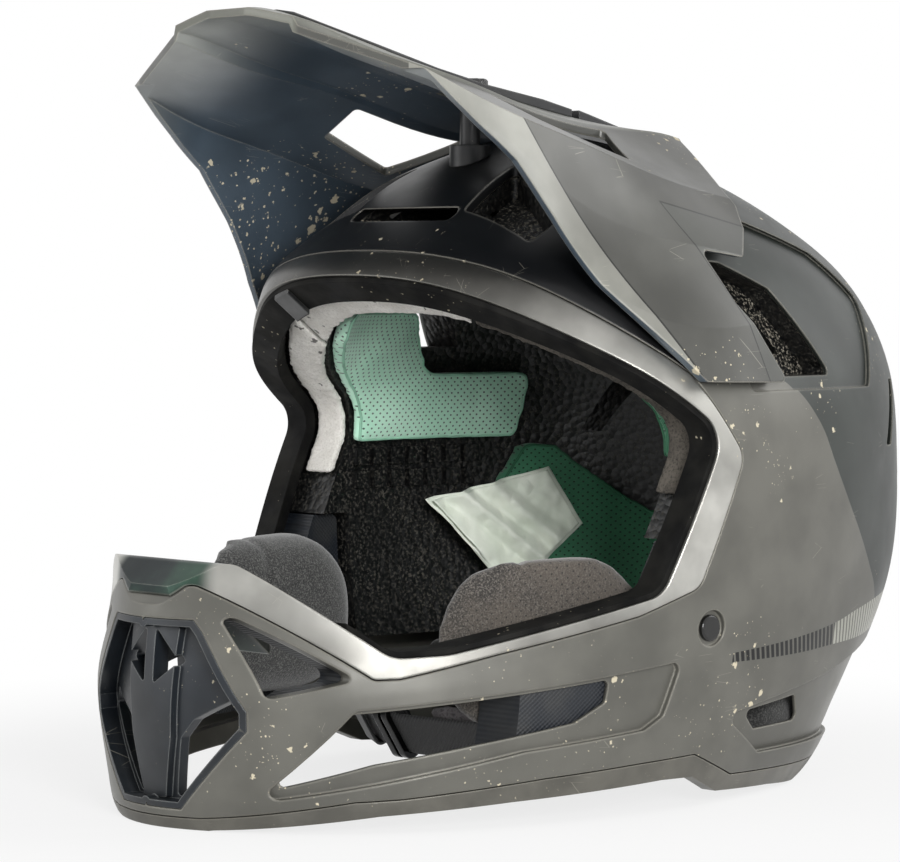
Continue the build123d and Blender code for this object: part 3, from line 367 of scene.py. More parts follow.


# Visor: the shell's paint on top in panels with fine lines, blue-black below, greyer at the tip; the lighter
# rail and front strip are painted highlights, the fine lines painted shade
visorValues = {
    "metallic": 0.2, "top": "4c4c48", "litRail": "66675f", "railEdge": (0.0345, 0.0365), "under": "46525d",
    "underFront": "8d8f8b", "front": (-0.125, -0.07), "down": (-0.02, 0.0), "strip": "85857e",
    "tongue": "4c4d49", "creaseShade": "2a2a28", "stripLine": [(-0.044, 0.234), (-0.001, 0.162)],
    "tongueLine": [(0.007, 0.228), (0.014, 0.210)], "tongueTop": [(0.007, 0.228), (0.052, 0.219)],
    "lineHalf": 0.00035, "sideFrom": 0.058, "stripFrom": 0.078, "edge": 0.0012, "wear": 0.45,
    "bare": "b8b4a8", "cloud": 24.0, "scratchScale": 80.0, "scratches": 0.5, "mudScale": 230.0,
    "mud": 0.60, "mudShow": 0.8, "mudTone": "d6cbb0", "gloss": (0.30, 0.44), "grain": 2600.0,
    "grainDepth": 0.10,
}


def beside(tree, axes, ends):
    # distance from a line in the side view, positive in front of it and below it
    (startY, startZ), (endY, endZ) = ends
    length = math.hypot(endY - startY, endZ - startZ)
    acrossY, acrossZ = (endZ - startZ) / length, -(endY - startY) / length
    offset = -(startY * acrossY + startZ * acrossZ)
    inZ = calc(tree, "MULTIPLY_ADD", axes["Z"], acrossZ, offset)
    return calc(tree, "ADD", times(tree, axes["Y"], acrossY), inZ)


def visorPaint(values):
    made, tree, shader, place = newMaterial("visorPaint", metallic=values["metallic"])
    axes = axesOf(tree, place["Object"])
    upward = axesOf(tree, put(tree, "ShaderNodeNewGeometry").outputs["True Normal"])["Z"]
    side = calc(tree, "ABSOLUTE", axes["X"])
    # the centre rail is made lighter than the rest of the top as a painted highlight
    onRail = step(tree, side, *values["railEdge"], 1.0, 0.0)
    base = mix(tree, onRail, tone(values["top"]), tone(values["litRail"]))
    strip = beside(tree, axes, values["stripLine"])
    tongue, tongueTop = beside(tree, axes, values["tongueLine"]), beside(tree, axes, values["tongueTop"])
    outside = calc(tree, "GREATER_THAN", side, values["sideFrom"])
    onWing = calc(tree, "GREATER_THAN", side, values["stripFrom"])
    behind = times(tree, outside, calc(tree, "LESS_THAN", tongue, 0.0))
    belowTop = times(tree, outside, calc(tree, "GREATER_THAN", tongueTop, 0.0))
    # the front strip of the wing is the same paint made lighter as a painted highlight
    inLitStrip = times(tree, onWing, calc(tree, "GREATER_THAN", strip, 0.0))
    base = mix(tree, inLitStrip, base, tone(values["strip"]))
    base = mix(tree, times(tree, behind, belowTop), base, tone(values["tongue"]))
    # thin dark lines along the creases and facet steps are painted shade
    creaseShade = 0.0
    for distance, within in ((strip, onWing), (tongue, belowTop), (tongueTop, behind)):
        line = calc(tree, "LESS_THAN", calc(tree, "ABSOLUTE", distance), values["lineHalf"])
        creaseShade = calc(tree, "MAXIMUM", creaseShade, times(tree, line, within))
    base = mix(tree, creaseShade, base, tone(values["creaseShade"]))
    under = step(tree, axes["Y"], *values["front"])
    under = mix(tree, under, tone(values["underFront"]), tone(values["under"]))
    base = mix(tree, step(tree, upward, *values["down"], 1.0, 0.0), base, under)
    paintFinish(tree, shader, place, base, values)
    return made


# Hard plastic and steel: one finish with changes for each
plasticValues = {
    "haze": "3a3a38", "hazeCloud": 40.0, "hazeShare": 0.25, "metallic": 0.0, "edge": 0.0008, "wear": 0.2,
    "bare": "7c7c78", "cloud": 60.0, "scratchScale": 80.0, "scratches": 0.4, "mudScale": 300.0, "mud": 0.3,
    "mudShow": 0.7, "mudTone": "cfc6ae", "gloss": (0.32, 0.5), "grain": 3000.0, "grainDepth": 0.12,
}


def plasticPaint(name, base, **changes):
    values = {**plasticValues, **changes}
    made, tree, shader, place = newMaterial(name, metallic=values["metallic"])
    hazed = cloudy(tree, place["Object"], values["hazeCloud"], 0.0, values["hazeShare"])
    paintFinish(tree, shader, place, mix(tree, hazed, tone(base), tone(values["haze"])), values)
    return made


# Seal: dusty black rubber
rubberValues = {
    "base": "060606", "dust": "5a5851", "dustCloud": 70.0, "dustShare": 0.08, "specular": 0.15,
    "mudTone": "cdc4ac", "mudScale": 420.0, "mud": 0.35, "smear": 0.6, "mudShow": 0.6, "glossCloud": 50.0,
    "gloss": (0.65, 0.85), "edge": 0.0007, "ripple": 420.0, "rippleDetail": 5.0, "strength": 0.22,
    "depth": 0.0003,
}


def rubber(name, values):
    made, tree, shader, place = newMaterial(name, Specular_IOR_Level=values["specular"])
    here = place["Object"]
    haze = cloudy(tree, here, values["dustCloud"], 0.0, values["dustShare"])
    spots = useGroup(tree, mudSpots, Place=here, Scale=values["mudScale"], Amount=values["mud"],
                     Smear=values["smear"])["Mask"]
    tint = mix(tree, haze, tone(values["base"]), tone(values["dust"]))
    tint = mix(tree, times(tree, spots, values["mudShow"]), tint, tone(values["mudTone"]))
    link(tree, tint, shader, "Base Color")
    link(tree, cloudy(tree, here, values["glossCloud"], *values["gloss"]), shader, "Roughness")
    worn = useGroup(tree, wornEdges, Place=here, Width=values["edge"])
    ripple = noiseOf(tree, here, values["ripple"], values["rippleDetail"])[0]
    bump = bumped(tree, ripple, values["strength"], values["depth"], worn["Normal"])
    link(tree, bump, shader, "Normal")
    return made


# Crown foam: black beads that glint in the light of the vents, and hardly inside
linerValues = {
    "base": "08090a", "glint": "b5ae9e", "scale": 340.0, "dustCloud": 46.0, "dust": (0.15, 0.08),
    "heart": (0.0, 0.03, 0.12), "facing": (0.2, 0.6), "outside": 0.6, "gloss": (0.42, 0.8),
    "strength": 0.7, "depth": 0.0007,
}


def beadFoam(name, values):
    made, tree, shader, place = newMaterial(name)
    here = place["Object"]
    beads = useGroup(tree, foamBeads, Place=here, Scale=values["scale"])
    dust = cloudy(tree, here, values["dustCloud"], *values["dust"])
    outward = vectorCalc(tree, "NORMALIZE", vectorCalc(tree, "SUBTRACT", here, values["heart"]))
    true = put(tree, "ShaderNodeNewGeometry").outputs["True Normal"]
    facing = vectorCalc(tree, "DOT_PRODUCT", outward, true)
    lit = step(tree, facing, *values["facing"], 0.0, values["outside"])
    # light specks on the beads: dust, plus painted glints that are stronger on faces turned out from the
    # heart
    dust = times(tree, beads["Glint"], calc(tree, "ADD", dust, lit, clamp=True))
    link(tree, mix(tree, dust, tone(values["base"]), tone(values["glint"])), shader, "Base Color")
    link(tree, step(tree, beads["Glint"], 0.0, 1.0, *values["gloss"]), shader, "Roughness")
    link(tree, bumped(tree, beads["Height"], values["strength"], values["depth"]), shader, "Normal")
    return made


# Foam behind the cheeks: a fine moulded check
ribbedValues = {
    "base": "0b0f16", "light": "20272f", "lightShare": 0.5, "dust": "6a675f", "dustCloud": 50.0,
    "dustShare": 0.12, "pitch": 0.0018, "strength": 0.5,
}


def ribbedFoam(name, values):
    made, tree, shader, place = newMaterial(name)
    axes = axesOf(tree, place["Object"])
    perMetre = 2 * math.pi / values["pitch"]
    turns = [calc(tree, "SINE", times(tree, axes[key], perMetre)) for key in "YZ"]
    ribs = calc(tree, "MULTIPLY_ADD", times(tree, *turns), 0.5, 0.5)
    # the crests of the check are painted lighter as a painted highlight
    tint = mix(tree, times(tree, ribs, values["lightShare"]), tone(values["base"]), tone(values["light"]))
    dusty = cloudy(tree, place["Object"], values["dustCloud"], 0.0, values["dustShare"])
    link(tree, mix(tree, dusty, tint, tone(values["dust"])), shader, "Base Color")
    link(tree, bumped(tree, ribs, values["strength"]), shader, "Normal")
    return made


# Open foam of the brow strips and the strap pad
foamFinish = {
    "fibres": 900.0, "fibreDetail": 6.0, "fibreRough": 0.75, "cover": (0.30, 0.55), "patches": 85.0,
    "patchLeast": 0.55, "spot": "2c2722", "spotScale": 240.0, "spotAmount": 0.55, "smear": 0.9,
    "spotShow": 0.8, "strength": 0.8, "depth": 0.0007,
}


def dustyFoam(name, base, dust, share, values=foamFinish):
    made, tree, shader, place = newMaterial(name, roughness=0.95)
    here = place["Object"]
    fibres = noiseOf(tree, here, values["fibres"], values["fibreDetail"], Roughness=values["fibreRough"])[0]
    patches = cloudy(tree, here, values["patches"], share * values["patchLeast"], share)
    spots = useGroup(tree, mudSpots, Place=here, Scale=values["spotScale"], Amount=values["spotAmount"],
                     Smear=values["smear"])["Mask"]
    cover = times(tree, step(tree, fibres, *values["cover"]), patches, clamp=True)
    tint = mix(tree, cover, tone(base), tone(dust))
    tint = mix(tree, times(tree, spots, values["spotShow"]), tint, tone(values["spot"]))
    link(tree, tint, shader, "Base Color")
    link(tree, bumped(tree, fibres, values["strength"], values["depth"]), shader, "Normal")
    return made


# Comfort pads: knitted cloth with rows of holes
clothValues = {
    "pitch": 0.0022, "hole": 0.21, "thread": 0.0005, "cloud": 55.0, "cloudShare": 0.3, "light": "d9efe2",
    "lightShare": 0.18, "holeTone": "0a2016", "holeShow": 0.9, "threadHeight": 0.25, "strength": 0.55,
    "depth": 0.0005, "sheen": 0.3, "sheenRough": 0.5, "rough": 0.85,
}


def holedCloth(name, base, dark, values=clothValues):
    made, tree, shader, place = newMaterial(name, roughness=values["rough"], Sheen_Weight=values["sheen"],
                                            Sheen_Roughness=values["sheenRough"])
    holes = useGroup(tree, holeRows, Map=place["UV"], Pitch=values["pitch"], Hole=values["hole"])["Mask"]
    threads = useGroup(tree, threadWeave, Map=place["UV"], Pitch=values["thread"])["Height"]
    tint = cloudy(tree, place["Object"], values["cloud"], 0.0, values["cloudShare"])
    tint = mix(tree, tint, tone(base), tone(dark))
    tint = mix(tree, times(tree, threads, values["lightShare"]), tint, tone(values["light"]))
    tint = mix(tree, times(tree, holes, values["holeShow"]), tint, tone(values["holeTone"]))
    link(tree, tint, shader, "Base Color")
    height = calc(tree, "SUBTRACT", times(tree, threads, values["threadHeight"]), holes)
    link(tree, bumped(tree, height, values["strength"], values["depth"]), shader, "Normal")
    return made


# Cheek pads and neck roll: knit of mixed yarn with small holes
knitValues = {
    "yarn": 1500.0, "yarnDetail": 3.0, "yarnRough": 0.7, "yarnRange": (0.44, 0.66), "pitch": 0.0024,
    "hole": 0.16, "holeTone": "0b0b0b", "holeShow": 0.85, "warmCloud": 40.0, "warmShare": (0.1, 0.6),
    "knit": 1300.0, "knitHeight": -0.6, "holeHeight": 1.4, "strength": 0.35, "depth": 0.0003,
    "sheen": 0.4, "sheenRough": 0.6, "rough": 0.95,
}


def melangeKnit(name, dark, light, warm=None, values=knitValues):
    made, tree, shader, place = newMaterial(name, roughness=values["rough"], Sheen_Weight=values["sheen"],
                                            Sheen_Roughness=values["sheenRough"])
    here = place["Object"]
    yarn = noiseOf(tree, here, values["yarn"], values["yarnDetail"], Roughness=values["yarnRough"])[0]
    holes = useGroup(tree, holeRows, Map=place["UV"], Pitch=values["pitch"], Hole=values["hole"])["Mask"]
    tint = mix(tree, step(tree, yarn, *values["yarnRange"]), tone(dark), tone(light))
    if warm:
        tint = mix(tree, cloudy(tree, here, values["warmCloud"], *values["warmShare"]), tint, tone(warm))
    tint = mix(tree, times(tree, holes, values["holeShow"]), tint, tone(values["holeTone"]))
    link(tree, tint, shader, "Base Color")
    knit = put(tree, "ShaderNodeTexVoronoi", {"Vector": here, "Scale": values["knit"]}).outputs["Distance"]
    height = times(tree, knit, values["knitHeight"])
    height = calc(tree, "SUBTRACT", height, times(tree, holes, values["holeHeight"]))
    link(tree, bumped(tree, height, values["strength"], values["depth"]), shader, "Normal")
    return made


# Chin strap: ribbed webbing
webbingValues = {
    "base": "0b0b0c", "light": "2c2c2e", "lightShare": 0.6, "threads": (700.0, 700.0, 1.0), "rib": 0.5,
    "ribBend": 0.3, "fine": 1.1, "fineBend": 0.2, "strength": 0.6, "depth": 0.0003, "sheen": 0.3,
    "rough": 0.7,
}


def webbingCloth(name, values):
    made, tree, shader, place = newMaterial(name, roughness=values["rough"], Sheen_Weight=values["sheen"])
    grid = put(tree, "ShaderNodeMapping", {"Vector": place["UV"], "Scale": values["threads"]}).outputs[0]
    waves = []
    for scale, bend, way in (("rib", "ribBend", "DIAGONAL"), ("fine", "fineBend", "X")):
        links = {"Vector": grid, "Scale": values[scale], "Distortion": values[bend]}
        waves.append(put(tree, "ShaderNodeTexWave", links, bands_direction=way).outputs["Fac"])
    height = times(tree, *waves)
    tint = mix(tree, times(tree, height, values["lightShare"]), tone(values["base"]), tone(values["light"]))
    link(tree, tint, shader, "Base Color")
    link(tree, bumped(tree, height, values["strength"], values["depth"]), shader, "Normal")
    return made


# Label: blank satin tape
satinValues = {
    "base": "f6fbee", "shade": "d9e4d2", "shadeCloud": 70.0, "shadeShare": 0.5, "crumple": 110.0,
    "crumpleDetail": 3.0, "crumpleHeight": 2.0, "thread": 0.0004, "threadHeight": 0.1, "strength": 0.4,
    "depth": 0.0008, "sheen": 0.2, "rough": 0.45,
}


def labelCloth(name, values):
    made, tree, shader, place = newMaterial(name, roughness=values["rough"], Sheen_Weight=values["sheen"])
    crumple = noiseOf(tree, place["Object"], values["crumple"], values["crumpleDetail"])[0]
    shade = cloudy(tree, place["Object"], values["shadeCloud"], 0.0, values["shadeShare"])
    link(tree, mix(tree, shade, tone(values["base"]), tone(values["shade"])), shader, "Base Color")
    threads = useGroup(tree, threadWeave, Map=place["UV"], Pitch=values["thread"])["Height"]
    crumple = times(tree, crumple, values["crumpleHeight"])
    height = calc(tree, "ADD", crumple, times(tree, threads, values["threadHeight"]))
    link(tree, bumped(tree, height, values["strength"], values["depth"]), shader, "Normal")
    return made


edgeTape = {"gloss": (0.6, 0.8), "wear": 0.0, "mud": 0.0, "scratches": 0.0}
grilleFinish = {"gloss": (0.3, 0.45), "metallic": 0.2, "bare": "8a8d8c", "wear": 0.5}
trimFinish = {"gloss": (0.38, 0.55), "metallic": 0.2, "bare": "a9a598", "wear": 0.3}
looks = {
    "shell": shellPaint(shellValues),
    "bezel": bezelPaint(bezelValues),
    "visor": visorPaint(visorValues),
    "blackPlastic": plasticPaint("blackPlastic", "131416"),
    "grille": plasticPaint("grillePlastic", "1b2026", **grilleFinish),
    "trim": plasticPaint("trimPlastic", "5f5d56", **trimFinish),
    "plug": plasticPaint("plugGloss", "060606", gloss=(0.06, 0.12), wear=0.05, mud=0.1),
    "seal": rubber("sealRubber", rubberValues),
    "liner": beadFoam("linerFoam", linerValues),
    "cheekBlock": ribbedFoam("cheekBlockFoam", ribbedValues),
    "dustyFoam": dustyFoam("dustyBrowFoam", "d6d2ca", "fbf8f2", 1.0),
    "darkFoam": dustyFoam("darkBrowFoam", "1b1917", "7d766c", 0.62),
    # the pad cloth painted much lighter, as painted light from behind
    "backlitMint": holedCloth("backlitMintCloth", "d2ffe6", "97dcba"),
    "green": holedCloth("greenCloth", "2f7d57", "1d5a3c"),
    "knit": melangeKnit("cheekKnit", "1a1a1a", "6b6b68"),
    "knitWarm": melangeKnit("cheekKnitWarm", "1c1a18", "6f6a64", "5d554c"),
    "roll": melangeKnit("rollKnit", "121312", "4c4c4a"),
    "webbing": webbingCloth("strapWebbing", webbingValues),
    "strapFoam": dustyFoam("strapFoam", "2b292b", "a8a2a4", 0.7),
    "label": labelCloth("labelCloth", satinValues),
    # the edge tape of the mint pad, in the same painted light from behind
    "backlitBinding": plasticPaint("backlitMintEdge", "a4dcbf", **edgeTape),
    "greenBinding": plasticPaint("greenEdge", "286c4a", **edgeTape),
    "steel": plasticPaint("buckleSteel", "17181a", gloss=(0.15, 0.3), metallic=0.8),
}
print("materials made:", len(looks))


# Which finish each CAD part that stays gets

dressed = {
    "outer_shell": "shell", "eyeport_bezel": "bezel", "eyeport_seal": "seal", "seal_clip": "blackPlastic",
    "base_trim": "trim", "mouth_grille": "grille", "side_plug_left": "plug", "side_plug_right": "plug",
    "eps_crown_liner": "liner", "eps_chin_liner": "cheekBlock", "eps_cheek_left": "cheekBlock",
    "eps_cheek_right": "cheekBlock", "cheek_studs_left": "blackPlastic", "cheek_studs_right": "blackPlastic",
    "d_rings": "steel", "strap_keeper": "blackPlastic", "strap_anchor_left": "blackPlastic",
    "strap_anchor_right": "blackPlastic", "visor": "visor", "visor_spine_front": "blackPlastic",
    "visor_spine_rear": "blackPlastic", "visor_post": "blackPlastic", "visor_thumbscrew": "blackPlastic",
    "pivot_pin_left": "blackPlastic", "pivot_pin_right": "blackPlastic",
}
for name, look in dressed.items():
    for holder in nodes[name].material_slots:
        holder.material = looks[look]
print("CAD parts dressed:", len(dressed))


# Soft pieces

def addPiece(name, shape, look):
    # the bmesh becomes an object with its finish
    mesh = bpy.data.meshes.new(name)
    shape.to_mesh(mesh)
    shape.free()
    return addMesh(name, mesh, look)


def addMesh(name, mesh, look):
    piece = bpy.data.objects.new(name, mesh)
    scene.collection.objects.link(piece)
    mesh.materials.clear()
    mesh.materials.append(looks[look])
    return piece


def settled(piece):
    graph = bpy.context.evaluated_depsgraph_get()
    return bpy.data.meshes.new_from_object(piece.evaluated_get(graph))


def applied(piece):
    mesh = settled(piece)
    piece.modifiers.clear()
    piece.data = mesh


def shapeOf(mesh, merge=0.0):
    shape = bmesh.new()
    shape.from_mesh(mesh)
    if merge:
        bmesh.ops.remove_doubles(shape, verts=shape.verts, dist=merge)
    return shape


def smoothShade(piece):
    for face in piece.data.polygons:
        face.use_smooth = True


weld = {"copy": 0.00001, "rim": 0.00002}


def softCopy(nodeName, name, look, values):
    # an even mesh over the CAD solid, with its edges rounded off
    shape = shapeOf(nodes[nodeName].data, weld["copy"])
    bmesh.ops.recalc_face_normals(shape, faces=shape.faces)
    piece = addPiece(name, shape, look)
    change = piece.modifiers.new("voxels", "REMESH")
    change.mode = "VOXEL"
    change.voxel_size = values["voxel"]
    change.use_smooth_shade = True
    applied(piece)
    shape = shapeOf(piece.data)
    for _ in range(values["rounds"]):
        bmesh.ops.smooth_vert(shape, verts=shape.verts, factor=0.5, use_axis_x=True, use_axis_y=True,
                              use_axis_z=True)
    shape.to_mesh(piece.data)
    shape.free()
    stuffed(piece, values)
    return piece


clothMass, clothFrames = 0.2, 20


def stuffed(piece, values):
    # a padded piece swells from a slightly smaller shape; its back is held against what carries it
    mesh = piece.data
    heart = Vector(values["heart"])
    shape = shapeOf(mesh)
    shape.normal_update()
    held = []
    for vert in shape.verts:
        if vert.normal.dot((vert.co - heart).normalized()) > values["held"]:
            held.append(vert.index)
        vert.co -= vert.normal * values["shrink"]
    shape.to_mesh(mesh)
    shape.free()
    group = piece.vertex_groups.new(name="held")
    group.add(held, 1.0, "REPLACE")
    rest = [vert.co.copy() for vert in mesh.vertices]
    cloth = piece.modifiers.new("cloth", "CLOTH")
    cloth.settings.use_pressure = True
    cloth.settings.uniform_pressure_force = values["pressure"]
    cloth.settings.effector_weights.gravity = 0.0
    cloth.settings.vertex_group_mass = "held"
    cloth.settings.mass = clothMass
    cloth.point_cache.frame_start, cloth.point_cache.frame_end = 1, clothFrames
    for frameNumber in range(1, clothFrames + 1):
        scene.frame_set(frameNumber)
    graph = bpy.context.evaluated_depsgraph_get()
    swollen = [vert.co.copy() for vert in piece.evaluated_get(graph).data.vertices]
    piece.modifiers.clear()
    scene.frame_set(1)
    for vert, before, after in zip(mesh.vertices, rest, swollen):
        shift = after - before
        if shift.length > values["cap"]:
            shift = shift.normalized() * values["cap"]
        vert.co = before + shift
    finer = piece.modifiers.new("finer", "SUBSURF")
    finer.levels = finer.render_levels = 1
    applied(piece)


def roundMap(piece, heart, radius):
    # a surface map in metres: angles round a point times the radius
    mesh = piece.data
    layer = mesh.uv_layers.new(name="cloth")
    for loop in mesh.loops:
        place = mesh.vertices[loop.vertex_index].co - Vector(heart)
        flat = math.hypot(place.x, place.z)
        turns = math.atan2(place.y, flat), math.atan2(place.z, abs(place.x))
        layer.data[loop.index].uv = [turn * radius for turn in turns]


def wallMap(piece, heart, radius):
    # a surface map for an upright wall: the way round it, and the height
    mesh = piece.data
    layer = mesh.uv_layers.new(name="cloth")
    for loop in mesh.loops:
        place = mesh.vertices[loop.vertex_index].co - Vector(heart)
        layer.data[loop.index].uv = (math.atan2(place.y, abs(place.x)) * radius, place.z)


def seated(piece, nodeName, body="helmet"):
    # a padded piece in the place of its CAD solid
    smoothShade(piece)
    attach(piece, body)
    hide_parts(nodeName)
    print("soft piece", piece.name, len(piece.data.polygons))


# Comfort pads with a narrow edge tape; the right temple pad and its tape take a mint copy of the cloth,
# painted lighter as if lit from behind
padValues = {
    "heart": (0.0, 0.040, 0.115), "held": 0.35, "shrink": 0.0004, "pressure": 4.0, "cap": 0.0022,
    "voxel": 0.0022, "rounds": 2, "fill": 0.6, "crownMap": 0.090, "wallMap": 0.082, "tapeGap": 0.002,
    "tapeRadius": 0.0006, "tapeRounds": 4, "facing": -0.55,
    "pads": {
        "temple_pad_right": ("templePadRight", "backlitMint"), "temple_pad_left": ("templePadLeft", "green"),
        "nape_pad_right": ("napePadRight", "green"), "nape_pad_left": ("napePadLeft", "green"),
        "crown_pad": ("crownPad", "green"),
    },
}


def pathLength(path):
    return sum((a - b).length for a, b in zip(path, path[1:]))


def rimPath(nodeName, values):
    # the loop where a pad's front face meets its sides
    shape = shapeOf(nodes[nodeName].data, weld["rim"])
    shape.edges.index_update()
    shape.normal_update()
    heart = Vector(values["heart"])

    def front(face):
        return face.normal.dot((face.calc_center_median() - heart).normalized()) < values["facing"]

    inner = [e for e in shape.edges if len(e.link_faces) == 2]
    loops, left = [], {e for e in inner if front(e.link_faces[0]) != front(e.link_faces[1])}
    while left:
        first = min(left, key=lambda edge: edge.index)
        left.discard(first)
        path, end = [first.verts[0].co.copy(), first.verts[1].co.copy()], first.verts[1]
        while True:
            following = [e for e in end.link_edges if e in left]
            if not following:
                break
            left.discard(following[0])
            end = following[0].other_vert(end)
            path.append(end.co.copy())
        loops.append(path)
    shape.free()
    return max(loops, key=pathLength)


def evened(path, gap, rounds):
    total, marks = 0.0, [0.0]
    for a, b in zip(path, path[1:]):
        total += (b - a).length
        marks.append(total)
    count = max(8, int(total / gap))
    made, index = [], 0
    for part in range(count):
        target = total * part / count
        while marks[index + 1] < target:
            index += 1
        span = marks[index + 1] - marks[index]
        made.append(path[index].lerp(path[index + 1], (target - marks[index]) / span if span else 0.0))
    for _ in range(rounds):
        made = [(made[i - 1] + made[i] * 2 + made[(i + 1) % count]) / 4 for i in range(count)]
    return made


def tubeAlong(name, path, radius, look):
    data = bpy.data.curves.new(name, "CURVE")
    data.dimensions = "3D"
    data.bevel_depth = radius
    data.bevel_resolution = 2
    spline = data.splines.new("POLY")
    spline.points.add(len(path) - 1)
    for point, place in zip(spline.points, path):
        point.co = (*place, 1.0)
    spline.use_cyclic_u = True
    holder = bpy.data.objects.new(name + "Line", data)
    scene.collection.objects.link(holder)
    mesh = settled(holder)
    bpy.data.objects.remove(holder)
    mesh.name = name
    piece = addMesh(name, mesh, look)
    smoothShade(piece)
    return piece


for nodeName, (name, look) in padValues["pads"].items():
    pad = softCopy(nodeName, name, look, padValues)
    if nodeName == "crown_pad":
        roundMap(pad, padValues["heart"], padValues["crownMap"])
    else:
        wallMap(pad, padValues["heart"], padValues["wallMap"])
    seated(pad, nodeName)
    corners, faces = [v.co for v in pad.data.vertices], [p.vertices[:] for p in pad.data.polygons]
    surface = BVHTree.FromPolygons(corners, faces)
    path = evened(rimPath(nodeName, padValues), padValues["tapeGap"], padValues["tapeRounds"])
    path = [surface.find_nearest(place)[0] for place in path]
    tape = "backlitBinding" if look == "backlitMint" else "greenBinding"
    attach(tubeAlong(name + "Binding", path, padValues["tapeRadius"], tape), "helmet")


# Cheek pads: knitted domes with a sewn seam
cheekValues = {
    "heart": (0.0, -0.046, 0.064), "held": 0.75, "shrink": 0.0010, "pressure": 4.0, "cap": 0.004,
    "voxel": 0.0040, "rounds": 3, "fill": 0.8, "map": 0.075, "seamDepth": 0.0012, "seamWidth": 0.0022,
    "seamAcross": (0.35, 0.80, -0.48), "seamSpot": (0.070, -0.055, 0.085), "seamFacing": 0.5,
    "pads": {
        "cheek_pad_left": ("cheekPadLeft", "knitWarm", 1), "cheek_pad_right": ("cheekPadRight", "knit", -1),
    },
}
for nodeName, (name, look, sign) in cheekValues["pads"].items():
    pad = softCopy(nodeName, name, look, cheekValues)
    shape = shapeOf(pad.data)
    shape.normal_update()
    mirrored = Vector((sign, 1, 1))
    across = (Vector(cheekValues["seamAcross"]) * mirrored).normalized()
    spot = Vector(cheekValues["seamSpot"]) * mirrored
    for vert in shape.verts:
        off = abs((vert.co - spot).dot(across))
        if off < cheekValues["seamWidth"] and vert.normal.x * sign < cheekValues["seamFacing"]:
            vert.co -= vert.normal * cheekValues["seamDepth"] * (1 - off / cheekValues["seamWidth"])
    shape.to_mesh(pad.data)
    shape.free()
    roundMap(pad, cheekValues["heart"], cheekValues["map"])
    seated(pad, nodeName, body=nodeName)

# Neck roll
rollValues = {
    "heart": (0.0, 0.050, 0.032), "held": 0.55, "shrink": 0.0006, "pressure": 4.0, "cap": 0.003,
    "voxel": 0.0035, "rounds": 2, "fill": 0.7, "map": 0.100,
}
roll = softCopy("neck_roll", "neckRoll", "roll", rollValues)
roundMap(roll, rollValues["heart"], rollValues["map"])
seated(roll, "neck_roll")

# Brow foam in three lengths: open foam with a rough face
foamValues = {
    "heart": (0.0, 0.02, 0.10), "held": 0.2, "shrink": 0.0003, "pressure": 2.0, "cap": 0.0015,
    "voxel": 0.0018, "rounds": 3, "fill": 0.5, "map": 0.090, "rough": 0.0003, "roughScale": 700.0,
    "strips": {
        "brow_foam_right": ("browFoamRight", "dustyFoam"),
        "brow_foam_centre": ("browFoamCentre", "dustyFoam"), "brow_foam_left": ("browFoamLeft", "darkFoam"),
    },
}
for nodeName, (name, look) in foamValues["strips"].items():
    foam = softCopy(nodeName, name, look, foamValues)
    for vert in foam.data.vertices:
        vert.co += vert.normal * foamValues["rough"] * noise.noise(vert.co * foamValues["roughScale"])
    roundMap(foam, foamValues["heart"], foamValues["map"])
    seated(foam, nodeName)


# Chin strap webbing: the same route as the CAD, in its sloping plane, and its pad
strapValues = {
    "span": 0.107, "origin": (0.0, 0.024, 0.036), "rise": 0.55, "bend": 0.014, "bendPieces": 6,
    "width": 0.020, "thick": 0.0014, "edge": 0.0004, "rows": (0, 0.08, 0.5, 0.92, 1),
    "straps": {
        "chin_strap_long": ("chinStrapLong", [
            (1.000, 0.019), (0.822, -0.150), (0.467, -0.290), (0.000, -0.327), (-0.318, -0.333),
            (-0.495, -0.313), (-0.682, -0.243)]),
        "chin_strap_short": ("chinStrapShort", [
            (-1.000, 0.019), (-0.822, -0.150), (-0.467, -0.285), (-0.318, -0.302)]),
    },
}
strapPadValues = {
    "heart": (0.0, 0.024, 0.1), "held": 0.95, "shrink": 0.0004, "pressure": 3.0, "cap": 0.0015,
    "voxel": 0.0018, "rounds": 3, "fill": 0.5, "map": 0.09,
}


def strapRoute(shares, values):
    # straight runs joined by arcs, as points in the strap's plane
    corners = [Vector((a, b)) * values["span"] for a, b in shares]
    made, pieces = [corners[0]], values["bendPieces"]
    for before, corner, after in zip(corners, corners[1:], corners[2:]):
        first, second = (before - corner).normalized(), (after - corner).normalized()
        opening = first.angle(second)
        back = values["bend"] / math.tan(opening / 2)
        middle = corner + (first + second).normalized() * (values["bend"] / math.sin(opening / 2))
        start, end = corner + first * back - middle, corner + second * back - middle
        sweep = math.atan2(start.x * end.y - start.y * end.x, start.dot(end))
        for part in range(pieces + 1):
            made.append(middle + Matrix.Rotation(sweep * part / pieces, 2) @ start)
    return made + [corners[-1]]


